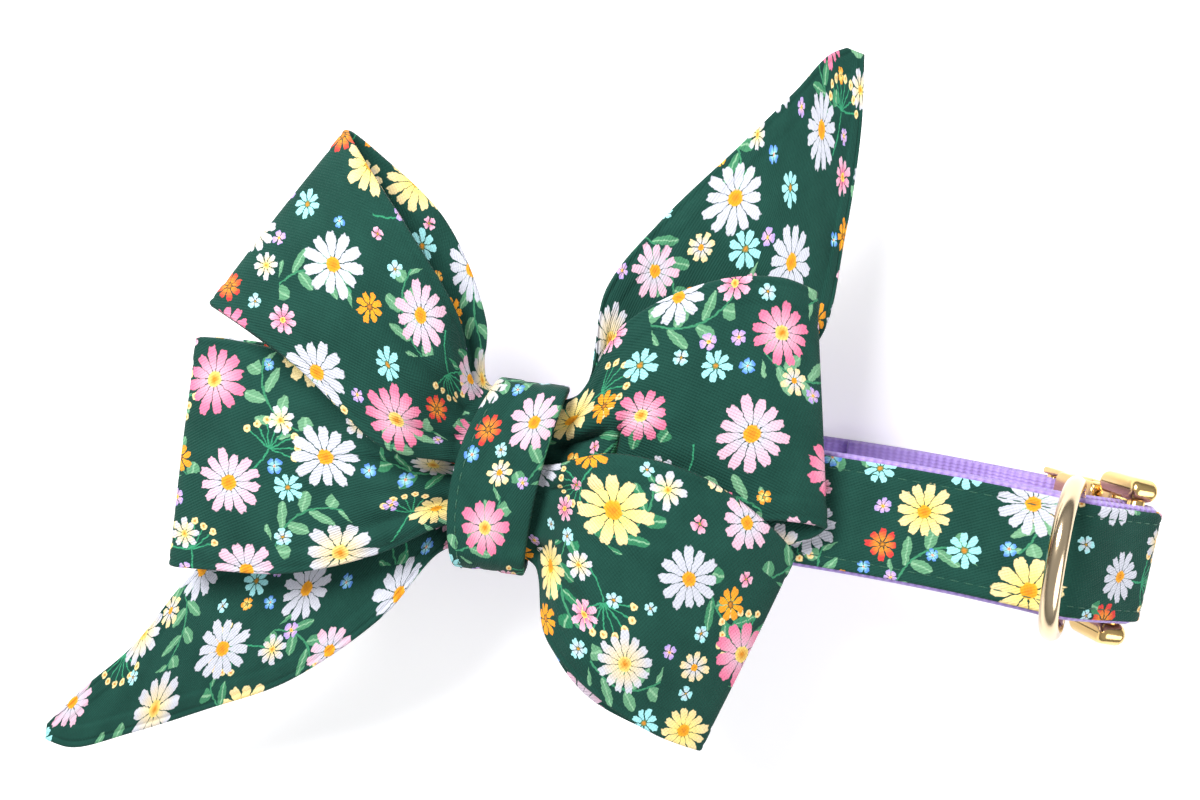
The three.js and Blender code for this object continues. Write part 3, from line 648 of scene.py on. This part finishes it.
def ring_piece():
    outline = ring_outline(150)
    sides = 24
    ahead = np.roll(outline, -1, axis=0) - np.roll(outline, 1, axis=0)
    outward = np.stack([ahead[:, 1], -ahead[:, 0]], axis=1)
    outward /= np.linalg.norm(outward, axis=1, keepdims=True)
    up = np.array([-math.sin(RING_LEAN), 0, math.cos(RING_LEAN)])
    flat = np.array([math.cos(RING_LEAN), 0, math.sin(RING_LEAN)])
    along_bar = np.array([0, 1, 0])
    centre = bent(np.array(RING_AT[0]), 0, np.array(RING_AT[1]))
    points, faces = [], []
    for i, (y, h) in enumerate(outline):
        band = RING_WIRE + (RING_HALF_BAND - RING_WIRE) * min(1, h / 6)
        for k in range(sides):
            turn = 2 * math.pi * k / sides
            out = RING_WIRE * math.cos(turn)
            place = along_bar * (y + outward[i, 0] * out) + up * (h + outward[i, 1] * out)
            points.append(centre + place + flat * band * math.sin(turn))
            n, m = (i + 1) % len(outline), (k + 1) % sides
            faces.append((i * sides + k, i * sides + m, n * sides + m, n * sides + k))
    piece = make_object("polished_ring", points, faces)
    dress(piece, ["d_ring"], RING_GOLD, body="ring")


def block(t0, t1, y0, y1, thickness, radius, bevel=0.6, middle=0.0):
    """A block of the buckle with round corners and softened faces, as (points, faces)."""
    radius = max(radius, bevel + 0.05)
    outline = []
    for (ct, cy), start in (((t1 - radius, y0 + radius), -90), ((t1 - radius, y1 - radius), 0),
                            ((t0 + radius, y1 - radius), 90), ((t0 + radius, y0 + radius), 180)):
        outline.append((ct, cy, arc((0, 0), 1, start, start + 90, 8)))
    heights = [(bevel * (1 - math.cos(w)), math.sin(w)) for w in np.linspace(0, math.pi / 2, 5)]
    levels = [(inset, -(thickness / 2 - bevel) - bevel * s) for inset, s in reversed(heights)]
    levels += [(inset, thickness / 2 - bevel + bevel * s) for inset, s in heights]
    points, faces = [], []
    count = sum(len(a) for _, _, a in outline)
    for inset, h in levels:
        for ct, cy, directions in outline:
            for direction in directions:
                reach = radius - inset
                points.append((ct + reach * direction[0], cy + reach * direction[1], middle + h))
    for level in range(len(levels) - 1):
        for s in range(count):
            a, b = level * count + s, level * count + (s + 1) % count
            faces.append((a, b, b + count, a + count))
    faces.append(tuple(range(count))[::-1])
    faces.append(tuple((len(levels) - 1) * count + s for s in range(count)))
    return points, faces


def bar(t, half_length):
    """A round bar across the buckle, as (points, faces)."""
    sides = 32
    points, faces = [], []
    end, bevel = half_length, 0.3
    for y, r in ((-end, BAR_RADIUS - bevel), (-end + bevel, BAR_RADIUS),
                 (end - bevel, BAR_RADIUS), (end, BAR_RADIUS - bevel)):
        for s in range(sides):
            angle = 2 * math.pi * s / sides
            points.append((t + r * math.cos(angle), y, r * math.sin(angle)))
    for k in range(3):
        for s in range(sides):
            a, b = k * sides + s, k * sides + (s + 1) % sides
            faces.append((a, a + sides, b + sides, b))
    faces.append(tuple(range(sides)))
    faces.append(tuple(3 * sides + s for s in range(sides))[::-1])
    return points, faces


STRAP_SLOT = STRAP_WIDTH / 2 + 0.5
EAR_HALF = 17.3
SOCKET_HALF = 14.8
SOCKET_FROM, SOCKET_TO, SOCKET_THICK, SOCKET_WALL = 11.4, BUCKLE_PITCH - 6.1, 7.4, 1.2
CLIP_THICK, EAR_THICK = 4.6, 6.2


def both_sides(t0, t1, inner, outer, *rest, **more):
    return [block(t0, t1, inner, outer, *rest, **more), block(t0, t1, -outer, -inner, *rest, **more)]


def clip_parts():
    return [
        bar(0, EAR_HALF - 1),
        *both_sides(-3.2, 11, STRAP_SLOT, EAR_HALF + 0.8, EAR_THICK, 2.6, 1.5),
        *both_sides(9, 19, 8.6, 11.2, 2.6, 1),
        *both_sides(15.6, 20.6, 8.6, SOCKET_HALF - 0.5, 2.6, 1),
        block(6, 11, -15.5, 15.5, CLIP_THICK, 1),
    ]


def socket_parts():
    side = SOCKET_THICK / 2 - SOCKET_WALL / 2
    wall_in = 11.8
    return [
        block(SOCKET_FROM, SOCKET_TO, -SOCKET_HALF, SOCKET_HALF, SOCKET_WALL, 2.4, 0.5, middle=side),
        block(SOCKET_FROM, SOCKET_TO, -SOCKET_HALF, SOCKET_HALF, SOCKET_WALL, 2.4, 0.5, middle=-side),
        *both_sides(SOCKET_FROM, 15, wall_in, SOCKET_HALF, SOCKET_THICK - 0.6, 1.4, 0.5),
        *both_sides(21.4, SOCKET_TO, wall_in, SOCKET_HALF, SOCKET_THICK - 0.6, 1.4, 0.5),
        block(23, SOCKET_TO, -SOCKET_HALF + 0.4, SOCKET_HALF - 0.4, SOCKET_THICK - 0.6, 1.4, 0.5),
        *both_sides(25, BUCKLE_PITCH + 2.4, STRAP_SLOT, SOCKET_HALF, 4.4, 0.8, 0.4),
        bar(BUCKLE_PITCH, SOCKET_HALF - 0.6),
    ]


def buckle_pieces():
    slope = math.atan2(FAR_BAR[1] - NEAR_BAR[1], FAR_BAR[0] - NEAR_BAR[0])
    c, s = math.cos(slope), math.sin(slope)
    turn = Matrix.Rotation(-math.atan(BEND_SLOPE), 3, "Z") @ Matrix(((c, 0, -s), (0, 1, 0), (s, 0, c)))
    origin = bent(np.array(NEAR_BAR[0]), 0, np.array(NEAR_BAR[1]))
    for name, parts in (("buckle_clip", clip_parts()), ("buckle_socket", socket_parts())):
        points, faces = [], []
        for part_points, part_faces in parts:
            start = len(points)
            points += [np.array(turn @ Vector(p)) + origin for p in part_points]
            faces += [tuple(start + n for n in face) for face in part_faces]
        piece = make_object(name + "_casting", points, faces)
        crisp = piece.modifiers.new("Crisp", "EDGE_SPLIT")
        crisp.split_angle = math.radians(50)
        dress(piece, [name], BUCKLE_GOLD)


# ---- Materials ----

class Wire:
    """A number or a vector in a node tree, with the arithmetic that adds its nodes."""

    def __init__(self, tree, socket):
        self.tree = tree
        self.socket = socket

    def node(self, kind, settings=None, inputs=(), output=0):
        made = self.tree.nodes.new(kind)
        for key, value in (settings or {}).items():
            setattr(made, key, value)
        for place, value in inputs:
            self.feed(made.inputs[place], value)
        return Wire(self.tree, made.outputs[output])

    def feed(self, socket, value):
        if isinstance(value, Wire):
            self.tree.links.new(value.socket, socket)
        else:
            socket.default_value = value

    def math(self, operation, *others):
        numbered = [(0, self), *((n + 1, other) for n, other in enumerate(others))]
        return self.node("ShaderNodeMath", {"operation": operation}, numbered)

    def vector(self, operation, other=None, output=0):
        inputs = [(0, self)] + ([(1, other)] if other is not None else [])
        return self.node("ShaderNodeVectorMath", {"operation": operation}, inputs, output)

    def __add__(self, other):
        return self.math("ADD", other)

    def __sub__(self, other):
        return self.math("SUBTRACT", other)

    def __mul__(self, other):
        return self.math("MULTIPLY", other)

    def __truediv__(self, other):
        return self.math("DIVIDE", other)

    def soft(self, low, high):
        """0 below low, 1 above high, and straight between."""
        inputs = [(0, self), (1, low), (2, high), (3, 0.0), (4, 1.0)]
        return self.node("ShaderNodeMapRange", {"clamp": True}, inputs)

    def split(self):
        made = self.tree.nodes.new("ShaderNodeSeparateXYZ")
        self.tree.links.new(self.socket, made.inputs[0])
        return [Wire(self.tree, output) for output in made.outputs]

    def random(self, dimensions="2D"):
        """Three random numbers for each place, as a list."""
        socket = 1 if dimensions == "1D" else 0
        settings = {"noise_dimensions": dimensions}
        made = self.node("ShaderNodeTexWhiteNoise", settings, [(socket, self)], 1)
        return made.split()

    def ramp(self, stops, steps=True):
        made = self.tree.nodes.new("ShaderNodeValToRGB")
        made.color_ramp.interpolation = "CONSTANT" if steps else "LINEAR"
        while len(made.color_ramp.elements) < len(stops):
            made.color_ramp.elements.new(0.5)
        for element, (place, colour) in zip(made.color_ramp.elements, stops):
            element.position = place
            element.color = (*colour, 1)
        self.tree.links.new(self.socket, made.inputs[0])
        return Wire(self.tree, made.outputs[0])


def mixed(factor, below, above):
    """The colour below, with the colour above over it by the factor."""
    made = factor.tree.nodes.new("ShaderNodeMix")
    made.data_type = "RGBA"
    for place, value in ((0, factor), (6, below), (7, above)):
        if isinstance(value, tuple):
            value = (*value, 1)
        factor.feed(made.inputs[place], value)
    return Wire(factor.tree, made.outputs[2])


def new_material(name, **settings):
    """A material with its shader's uniform values set, and the start of its graph."""
    material = bpy.data.materials.new(name)
    material.use_nodes = True
    shader = material.node_tree.nodes["Principled BSDF"]
    for key, value in settings.items():
        shader.inputs[key.replace("_", " ")].default_value = value
    return material, shader, material.node_tree


def cloth_place(tree):
    """The place on the cloth in millimetres, from its UV map."""
    made = tree.nodes.new("ShaderNodeUVMap")
    made.uv_map = "Cloth"
    return Wire(tree, made.outputs[0]).vector("MULTIPLY", (100, 100, 0))


def surface(tree, shader, colour, rough, height, depth, strength=1.0):
    """Gives a shader its colour, roughness and fine relief."""
    made = tree.nodes.new("ShaderNodeBump")
    made.inputs["Strength"].default_value = strength
    made.inputs["Distance"].default_value = depth
    tree.links.new(height.socket, made.inputs["Height"])
    tree.links.new(made.outputs[0], shader.inputs["Normal"])
    tree.links.new(colour.socket, shader.inputs["Base Color"])
    tree.links.new(rough.socket, shader.inputs["Roughness"])


class Scatter:
    """Motifs set out on a turned grid, each shifted a little from its cell's middle."""

    def __init__(self, at, pitch, turn, shift, seed, least=1.0, spread=0.0):
        self.settings = pitch, turn, shift, seed, least, spread
        turned = at.node("ShaderNodeVectorRotate", {"rotation_type": "Z_AXIS"}, [(0, at), (3, turn)])
        scaled = turned.vector("DIVIDE", (pitch, pitch, 1))
        cell = scaled.vector("FLOOR").vector("ADD", (seed, 2.7 * seed, 0))
        self.random = cell.random()
        self.more = cell.vector("ADD", (41.3, 17.9, 0)).random()
        x, y, _ = scaled.vector("FRACTION").split()
        self.x = (x - 0.5) * pitch - (self.random[0] - 0.5) * (2 * shift)
        self.y = (y - 0.5) * pitch - (self.random[1] - 0.5) * (2 * shift)
        self.radius = (self.x * self.x + self.y * self.y).math("SQRT")
        self.angle = self.y.math("ARCTAN2", self.x)
        self.size = self.more[2] * spread + least


def petals(scatter, count, slim, inner=0.16):
    """How far inside a petal each place is, 0 at the outline and 1 on the petal's middle, with the
    place along the petal. Petals differ a little in length."""
    spin = scatter.angle / (2 * math.pi) + scatter.random[2]
    turns = spin * count
    which = turns.math("FLOOR") + scatter.more[0] * 97.0
    length = which.random("1D")[0] * 0.22 + 0.84
    off = (turns.math("FRACT") - 0.5) / count * (2 * math.pi)
    along = scatter.radius * off.math("COSINE") / scatter.size
    aside = scatter.radius * off.math("SINE") / scatter.size
    half = (length - inner) * 0.5
    a = (along - inner - half) / half
    # The petal is fuller towards its tip.
    b = aside * count / (along * (slim * 1.1) + slim * 0.35)
    dent = a.soft(0.5, 1.0) * b.math("ABSOLUTE").soft(0.4, 0.0) * 0.45
    return (a * a + b * b + dent) * -1.0 + 1.0, along


def flower_layer(below, scatter, count, slim, heart, colours, present, notch):
    """Daisies of one size range over the colour below."""
    tip_stops, base_stops, heart_stops = colours
    inside, along = petals(scatter, count, slim)
    mask = (inside - notch).soft(0.0, 0.14) * present
    pick = scatter.more[1]
    tip = pick.ramp(tip_stops)
    base = pick.ramp(base_stops)
    colour = mixed(along.soft(0.2, 0.8) + notch, base, tip)
    over = mixed(mask, below, colour)
    disc = scatter.radius / scatter.size + notch * 0.1
    core = disc.soft(heart + 0.02, heart - 0.02) * present
    heart_colour = mixed(disc.soft(heart * 0.2, heart), (0.72, 0.26, 0.02), pick.ramp(heart_stops))
    return mixed(core, over, heart_colour)


WHITE, CREAM, BLUSH = (0.61, 0.62, 0.7), (0.88, 0.7, 0.36), (0.78, 0.48, 0.6)
PINK, AQUA, ORANGE = (0.84, 0.2, 0.34), (0.36, 0.78, 0.8), (0.9, 0.33, 0.03)
RED, LILAC, BLUE = (0.72, 0.05, 0.05), (0.48, 0.36, 0.78), (0.1, 0.26, 0.72)
YELLOW, GOLDEN, DEEP = (0.98, 0.75, 0.2), (0.93, 0.42, 0.02), (0.1, 0.06, 0.03)
LEAF, MINT = (0.02, 0.2, 0.09), (0.2, 0.42, 0.24)


# Each size of flower's colours, by chance: its petals' tips, their bases and its heart
SMALL_COLOURS = (
    [(0, LILAC), (0.34, BLUE), (0.56, AQUA), (0.76, BLUSH), (0.9, ORANGE)],
    [(0, BLUSH), (0.34, AQUA), (0.56, WHITE), (0.76, PINK), (0.9, YELLOW)],
    [(0, YELLOW), (0.34, WHITE), (0.56, LEAF)],
)
MIDDLE_COLOURS = (
    [(0, AQUA), (0.26, WHITE), (0.44, ORANGE), (0.62, CREAM), (0.76, BLUSH), (0.9, RED)],
    [(0, AQUA), (0.26, CREAM), (0.44, GOLDEN), (0.62, WHITE), (0.76, PINK), (0.9, ORANGE)],
    [(0, LEAF), (0.26, YELLOW), (0.44, DEEP), (0.62, GOLDEN), (0.76, YELLOW), (0.9, DEEP)],
)
LARGE_COLOURS = (
    [(0, WHITE), (0.36, PINK), (0.56, CREAM), (0.68, WHITE), (0.86, BLUSH)],
    [(0, WHITE), (0.36, BLUSH), (0.56, YELLOW), (0.68, CREAM), (0.86, WHITE)],
    [(0, GOLDEN), (0.36, YELLOW), (0.56, GOLDEN), (0.68, YELLOW), (0.86, GOLDEN)],
)


def noise_on(at, scale, detail, output=0):
    """Flat noise at a scale in turns for each millimetre: its value, or its colour for output 1."""
    inputs = [(0, at), (2, scale), (3, detail)]
    return at.node("ShaderNodeTexNoise", {"noise_dimensions": "2D"}, inputs, output)


def printed(at, patches, streak):
    """The print's colour: sprigs and umbels on the ground, then flowers of three sizes."""
    wobble = noise_on(at, 0.9, 3.0, 1).vector("SUBTRACT", (0.5, 0.5, 0.5))
    shaky = at.vector("ADD", wobble.vector("MULTIPLY", (0.7, 0.7, 0)))
    notch = (streak - 0.5) * 0.6
    large = Scatter(shaky, 21.0, 0.32, 2.6, 3.0, 5.7, 2.4)
    middle = Scatter(shaky, 11.0, 0.95, 1.1, 21.0, 3.1, 1.1)
    small = Scatter(shaky, 6.6, 1.4, 0.9, 33.0, 1.35, 0.8)
    large_count = (large.more[0] * 3.4 + 9.6).math("ROUND")
    small_count = (small.more[0] * 1.8 + 3.9).math("ROUND")
    clear_small = clear_of(small, large, shaky) * clear_of(small, middle, shaky)
    clear_middle = clear_of(middle, large, shaky)

    colour = mixed(patches, (0.005, 0.044, 0.032), (0.013, 0.073, 0.054))
    colour = sprigs(colour, Scatter(shaky, 25.0, 0.5, 2.5, 5.0))
    colour = umbels(colour, Scatter(shaky, 31.0, 1.1, 4.5, 9.0))
    colour = flower_layer(colour, small, small_count, 1.7, 0.2, SMALL_COLOURS, clear_small, notch * 0.4)
    colour = flower_layer(colour, middle, 8.0, 1.55, 0.2, MIDDLE_COLOURS, clear_middle, notch * 0.6)
    return flower_layer(colour, large, large_count, 1.72, 0.22, LARGE_COLOURS, 1.0, notch * 0.5)


def printed_cotton():
    """Dark green twill with scattered daisies, small blossoms, sprigs and umbels."""
    material, shader, tree = new_material("printed_cotton", Sheen_Weight=0.03, Specular_IOR_Level=0.15)
    at = cloth_place(tree)
    patches = noise_on(at, 0.12, 2.0)
    streak = noise_on(at, 1.3, 2.0)
    colour = printed(at, patches, streak)
    x, y, _ = at.split()
    twill = ((x * 0.8 + y * 1.5) * (2 * math.pi / 1.0)).math("SINE")
    yarn = ((x * -1.6 + y * 0.7) * (2 * math.pi / 1.1)).math("SINE")
    weave = twill * 0.7 + yarn * 0.3
    # Painted shade: the print is darker in the twill's grooves, following the weave's relief, and its
    # tone also varies at random along the streaks.
    weave_shade_and_streaks = weave * 0.05 + (streak - 0.5) * 0.16 + 0.97
    grey = colour.node("ShaderNodeCombineXYZ", {}, [(0, weave_shade_and_streaks), (1, weave_shade_and_streaks), (2, weave_shade_and_streaks)])
    print_with_weave_shade_and_streaks = colour.vector("MULTIPLY", grey)
    surface(tree, shader, print_with_weave_shade_and_streaks, patches * 0.12 + 0.74, weave + streak, 0.00006)
    return material


def clear_of(motif, other, at):
    """1 where this whole motif lies outside the other scatter's motif that is nearest its centre."""
    x, y, _ = at.split()
    turn = motif.settings[1]
    c, s = math.cos(turn), math.sin(turn)
    centre_x = x - (motif.x * c + motif.y * s)
    centre_y = y - (motif.y * c - motif.x * s)
    centre = at.node("ShaderNodeCombineXYZ", {}, [(0, centre_x), (1, centre_y)])
    found = Scatter(centre, *other.settings)
    return (found.radius - found.size - motif.size).math("GREATER_THAN", -0.3)


def sprigs(below, scatter):
    """Curved stems with pairs of leaves."""
    turned = scatter.random[2] * (2 * math.pi)
    c, s = turned.math("COSINE"), turned.math("SINE")
    x = scatter.x * c - scatter.y * s
    y = scatter.x * s + scatter.y * c
    off = y - x * x * 0.05
    ends = x.math("ABSOLUTE").math("LESS_THAN", 8.4) * scatter.more[0].math("GREATER_THAN", 0.1)
    stem = off.math("ABSOLUTE").soft(0.3, 0.16) * ends
    place = ((x / 5.6).math("FRACT") - 0.5) * 5.6 - off.math("SIGN") * 0.7
    aside = off.math("ABSOLUTE") - 2.3
    a = (place * 0.62 + aside * 0.78) / 2.65
    b = (place * -0.78 + aside * 0.62) / 1.2
    leaf = ((a * a + b * b) * -1.0 + 1.0).soft(0.0, 0.15) * ends
    vein = b.math("ABSOLUTE").soft(0.06, 0.2)
    tint = mixed(scatter.more[1], LEAF, MINT)
    leaf_colour = mixed(vein, (0.26, 0.5, 0.3), tint)
    over = mixed(leaf, below, leaf_colour)
    return mixed(stem, over, (0.05, 0.26, 0.13))


def umbels(below, scatter):
    """Fans of thin rays with a small yellow blossom at each ray's end, on one long stem."""
    spin = (scatter.angle / (2 * math.pi) + scatter.random[2]).math("FRACT")
    turns = spin * 16.0
    off = (turns.math("FRACT") - 0.5) / 16.0 * (2 * math.pi)
    along = scatter.radius * off.math("COSINE")
    aside = (scatter.radius * off.math("SINE")).math("ABSOLUTE")
    present = scatter.more[0].math("GREATER_THAN", 0.25)
    fan = spin.math("LESS_THAN", 0.5) * present
    length = (turns.math("FLOOR") + scatter.more[1] * 61.0).random("1D")[0] * 1.4 + 5.2
    ray = aside.soft(0.2, 0.1) * along.math("LESS_THAN", length) * fan
    far = along - length
    tuft = (far * far + aside * aside).math("SQRT")
    blossom = tuft.soft(0.85, 0.7) * fan
    stem_side = turns.math("SUBTRACT", 12.0).math("ABSOLUTE").math("LESS_THAN", 1.5)
    lean = (turns - 12.0) / 16.0 * (2 * math.pi) - scatter.radius * 0.03
    stem_off = (lean * scatter.radius).math("ABSOLUTE")
    stem = stem_off.soft(0.25, 0.13) * stem_side * present * scatter.radius.math("LESS_THAN", 8.5)
    over = mixed((ray + stem).math("MINIMUM", 1.0), below, (0.04, 0.3, 0.15))
    return mixed(blossom, over, mixed(tuft.soft(0.12, 0.5), (0.8, 0.3, 0.05), (0.95, 0.74, 0.36)))


def ribbed(name, base, dark, rib, sheen):
    """Woven nylon: ribs across its length, with finer yarns along them."""
    material, shader, tree = new_material(name, Sheen_Weight=sheen, Sheen_Roughness=0.35)
    at = cloth_place(tree)
    x, y, _ = at.split()
    wave = (x * (2 * math.pi / rib)).math("SINE")
    yarn = (y * (2 * math.pi / 0.8) + wave * 0.7).math("SINE")
    tone = noise_on(at, 0.35, 3.0)
    height = wave * 0.7 + yarn * 0.3
    # Painted shade: the colour goes towards dark in the hollows between ribs and yarns, following the
    # relief, and its tone also varies at random.
    colour = mixed((height * 0.25 + tone * 0.5 + 0.25).soft(0.0, 1.0), dark, base)
    surface(tree, shader, colour, tone * 0.15 + 0.5, height, 0.00014)
    return material


def gold(name, base, pale, roughness):
    """Polished plating with faint wipe marks and a little orange peel."""
    material, shader, tree = new_material(name, Metallic=1.0)
    made = tree.nodes.new("ShaderNodeTexCoord")
    at = Wire(tree, made.outputs["Object"])
    tone = at.node("ShaderNodeTexNoise", {}, [(0, at), (2, 190.0), (3, 3.0)])
    marks = at.vector("MULTIPLY", (300, 2600, 900))
    marks = marks.node("ShaderNodeTexNoise", {}, [(0, marks), (2, 1.0), (3, 2.0)])
    rough = tone * 0.08 + marks * 0.07 + roughness
    surface(tree, shader, mixed(tone, base, pale), rough, tone + marks * 0.15, 0.00004, 0.5)
    return material


def thread_material():
    material, shader, tree = new_material("sewing_thread", Sheen_Weight=0.1)
    made = tree.nodes.new("ShaderNodeTexCoord")
    at = Wire(tree, made.outputs["Object"])
    twist = at.node("ShaderNodeTexWave", {"bands_direction": "DIAGONAL"}, [(0, at), (1, 900.0)], 1)
    # Painted shade: the thread is darker in the grooves of its twist, following the same waves as its
    # relief.
    colour = mixed(twist, (0.008, 0.07, 0.04), (0.02, 0.13, 0.075))
    surface(tree, shader, colour, twist * 0.1 + 0.5, twist, 0.00005)
    return material


PRINT = printed_cotton()
WEBBING = ribbed("lavender_webbing", (0.5, 0.36, 0.82), (0.3, 0.19, 0.56), 1.7, 0.25)
ELASTIC = ribbed("keeper_elastic", (0.02, 0.04, 0.032), (0.008, 0.016, 0.013), 1.1, 0.2)
RING_GOLD = gold("ring_gold", (0.7, 0.53, 0.33), (0.8, 0.64, 0.43), 0.1)
BUCKLE_GOLD = gold("buckle_gold", (0.76, 0.5, 0.18), (0.86, 0.61, 0.26), 0.12)
THREAD = thread_material()


# ---- The scene ----

def add_camera():
    """Looks down on the bow, tilted and turned a little."""
    tilt, roll, pan = (math.radians(a) for a in (4.19, 7.87, 0.92))
    back = Vector((math.sin(pan) * math.cos(tilt), math.sin(tilt), math.cos(pan) * math.cos(tilt)))
    level = Vector((0, 1, 0)).cross(back).normalized()
    upright = back.cross(level)
    right = math.cos(roll) * level + math.sin(roll) * upright
    up = math.cos(roll) * upright - math.sin(roll) * level
    data = bpy.data.cameras.new("camera")
    data.lens = 40
    data.sensor_width = 36
    camera = bpy.data.objects.new("camera", data)
    turned = Matrix((right, up, back)).transposed().to_4x4()
    camera.matrix_world = Matrix.Translation(Vector((20.99, 37.29, 322.46)) * MM) @ turned
    bpy.context.scene.collection.objects.link(camera)
    bpy.context.scene.camera = camera


def add_light(name, place, size, power, target=(0.02, 0, 0.03)):
    data = bpy.data.lights.new(name, "AREA")
    data.shape = "DISK"
    data.size = size
    data.energy = power
    light = bpy.data.objects.new(name, data)
    light.location = place
    light.rotation_euler = (Vector(target) - Vector(place)).to_track_quat("-Z", "Y").to_euler()
    bpy.context.scene.collection.objects.link(light)


def add_studio():
    world = bpy.data.worlds.new("studio")
    world.use_nodes = True
    shader = world.node_tree.nodes["Background"]
    shader.inputs[1].default_value = 0.46
    sky = Wire(world.node_tree, world.node_tree.nodes.new("ShaderNodeTexCoord").outputs["Generated"])
    height = sky.split()[2]
    tone = mixed(height.soft(0.0, 0.55), (0.3, 0.31, 0.33), (0.95, 0.97, 1.0))
    world.node_tree.links.new(tone.socket, shader.inputs[0])
    bpy.context.scene.world = world
    bpy.context.scene.view_settings.view_transform = "Standard"
    add_light("key", (-0.45, 0.5, 0.75), 0.45, 14)
    add_light("fill", (0.6, -0.3, 0.6), 0.7, 4)
    corners = np.array([(-1, -1, 0), (1, -1, 0), (1, 1, 0), (-1, 1, 0)]) * 2000
    floor = make_object("floor", corners, [(0, 1, 2, 3)])
    material, shader, tree = new_material("paper", Roughness=0.9)
    shader.inputs["Base Color"].default_value = (0.88, 0.88, 0.88, 1)
    shader.inputs["Emission Color"].default_value = (1, 1, 1, 1)
    shader.inputs["Emission Strength"].default_value = 0.34
    floor.data.materials.append(material)


add_camera()
add_studio()
strap_pieces()
ring_piece()
buckle_pieces()
keeper_piece()
tail_piece("tail_lower_left", TAIL_LOWER_LEFT, 1, (0, 0))
tail_piece("tail_upper_right", TAIL_UPPER_RIGHT, 2, (150, 120))
loop_piece("loop_lower_left", LOOP_LOWER_LEFT, 3, (310, 35), FOLDS_LOWER_LEFT)
loop_piece("loop_upper_right", LOOP_UPPER_RIGHT, 4, (95, 410), FOLDS_UPPER_RIGHT)
loop_piece("loop_upper_left", LOOP_UPPER_LEFT, 5, (423, 214), FOLDS_UPPER_LEFT)
loop_piece("loop_lower_right", LOOP_LOWER_RIGHT, 6, (640, 90), FOLDS_LOWER_RIGHT)
knot_piece()
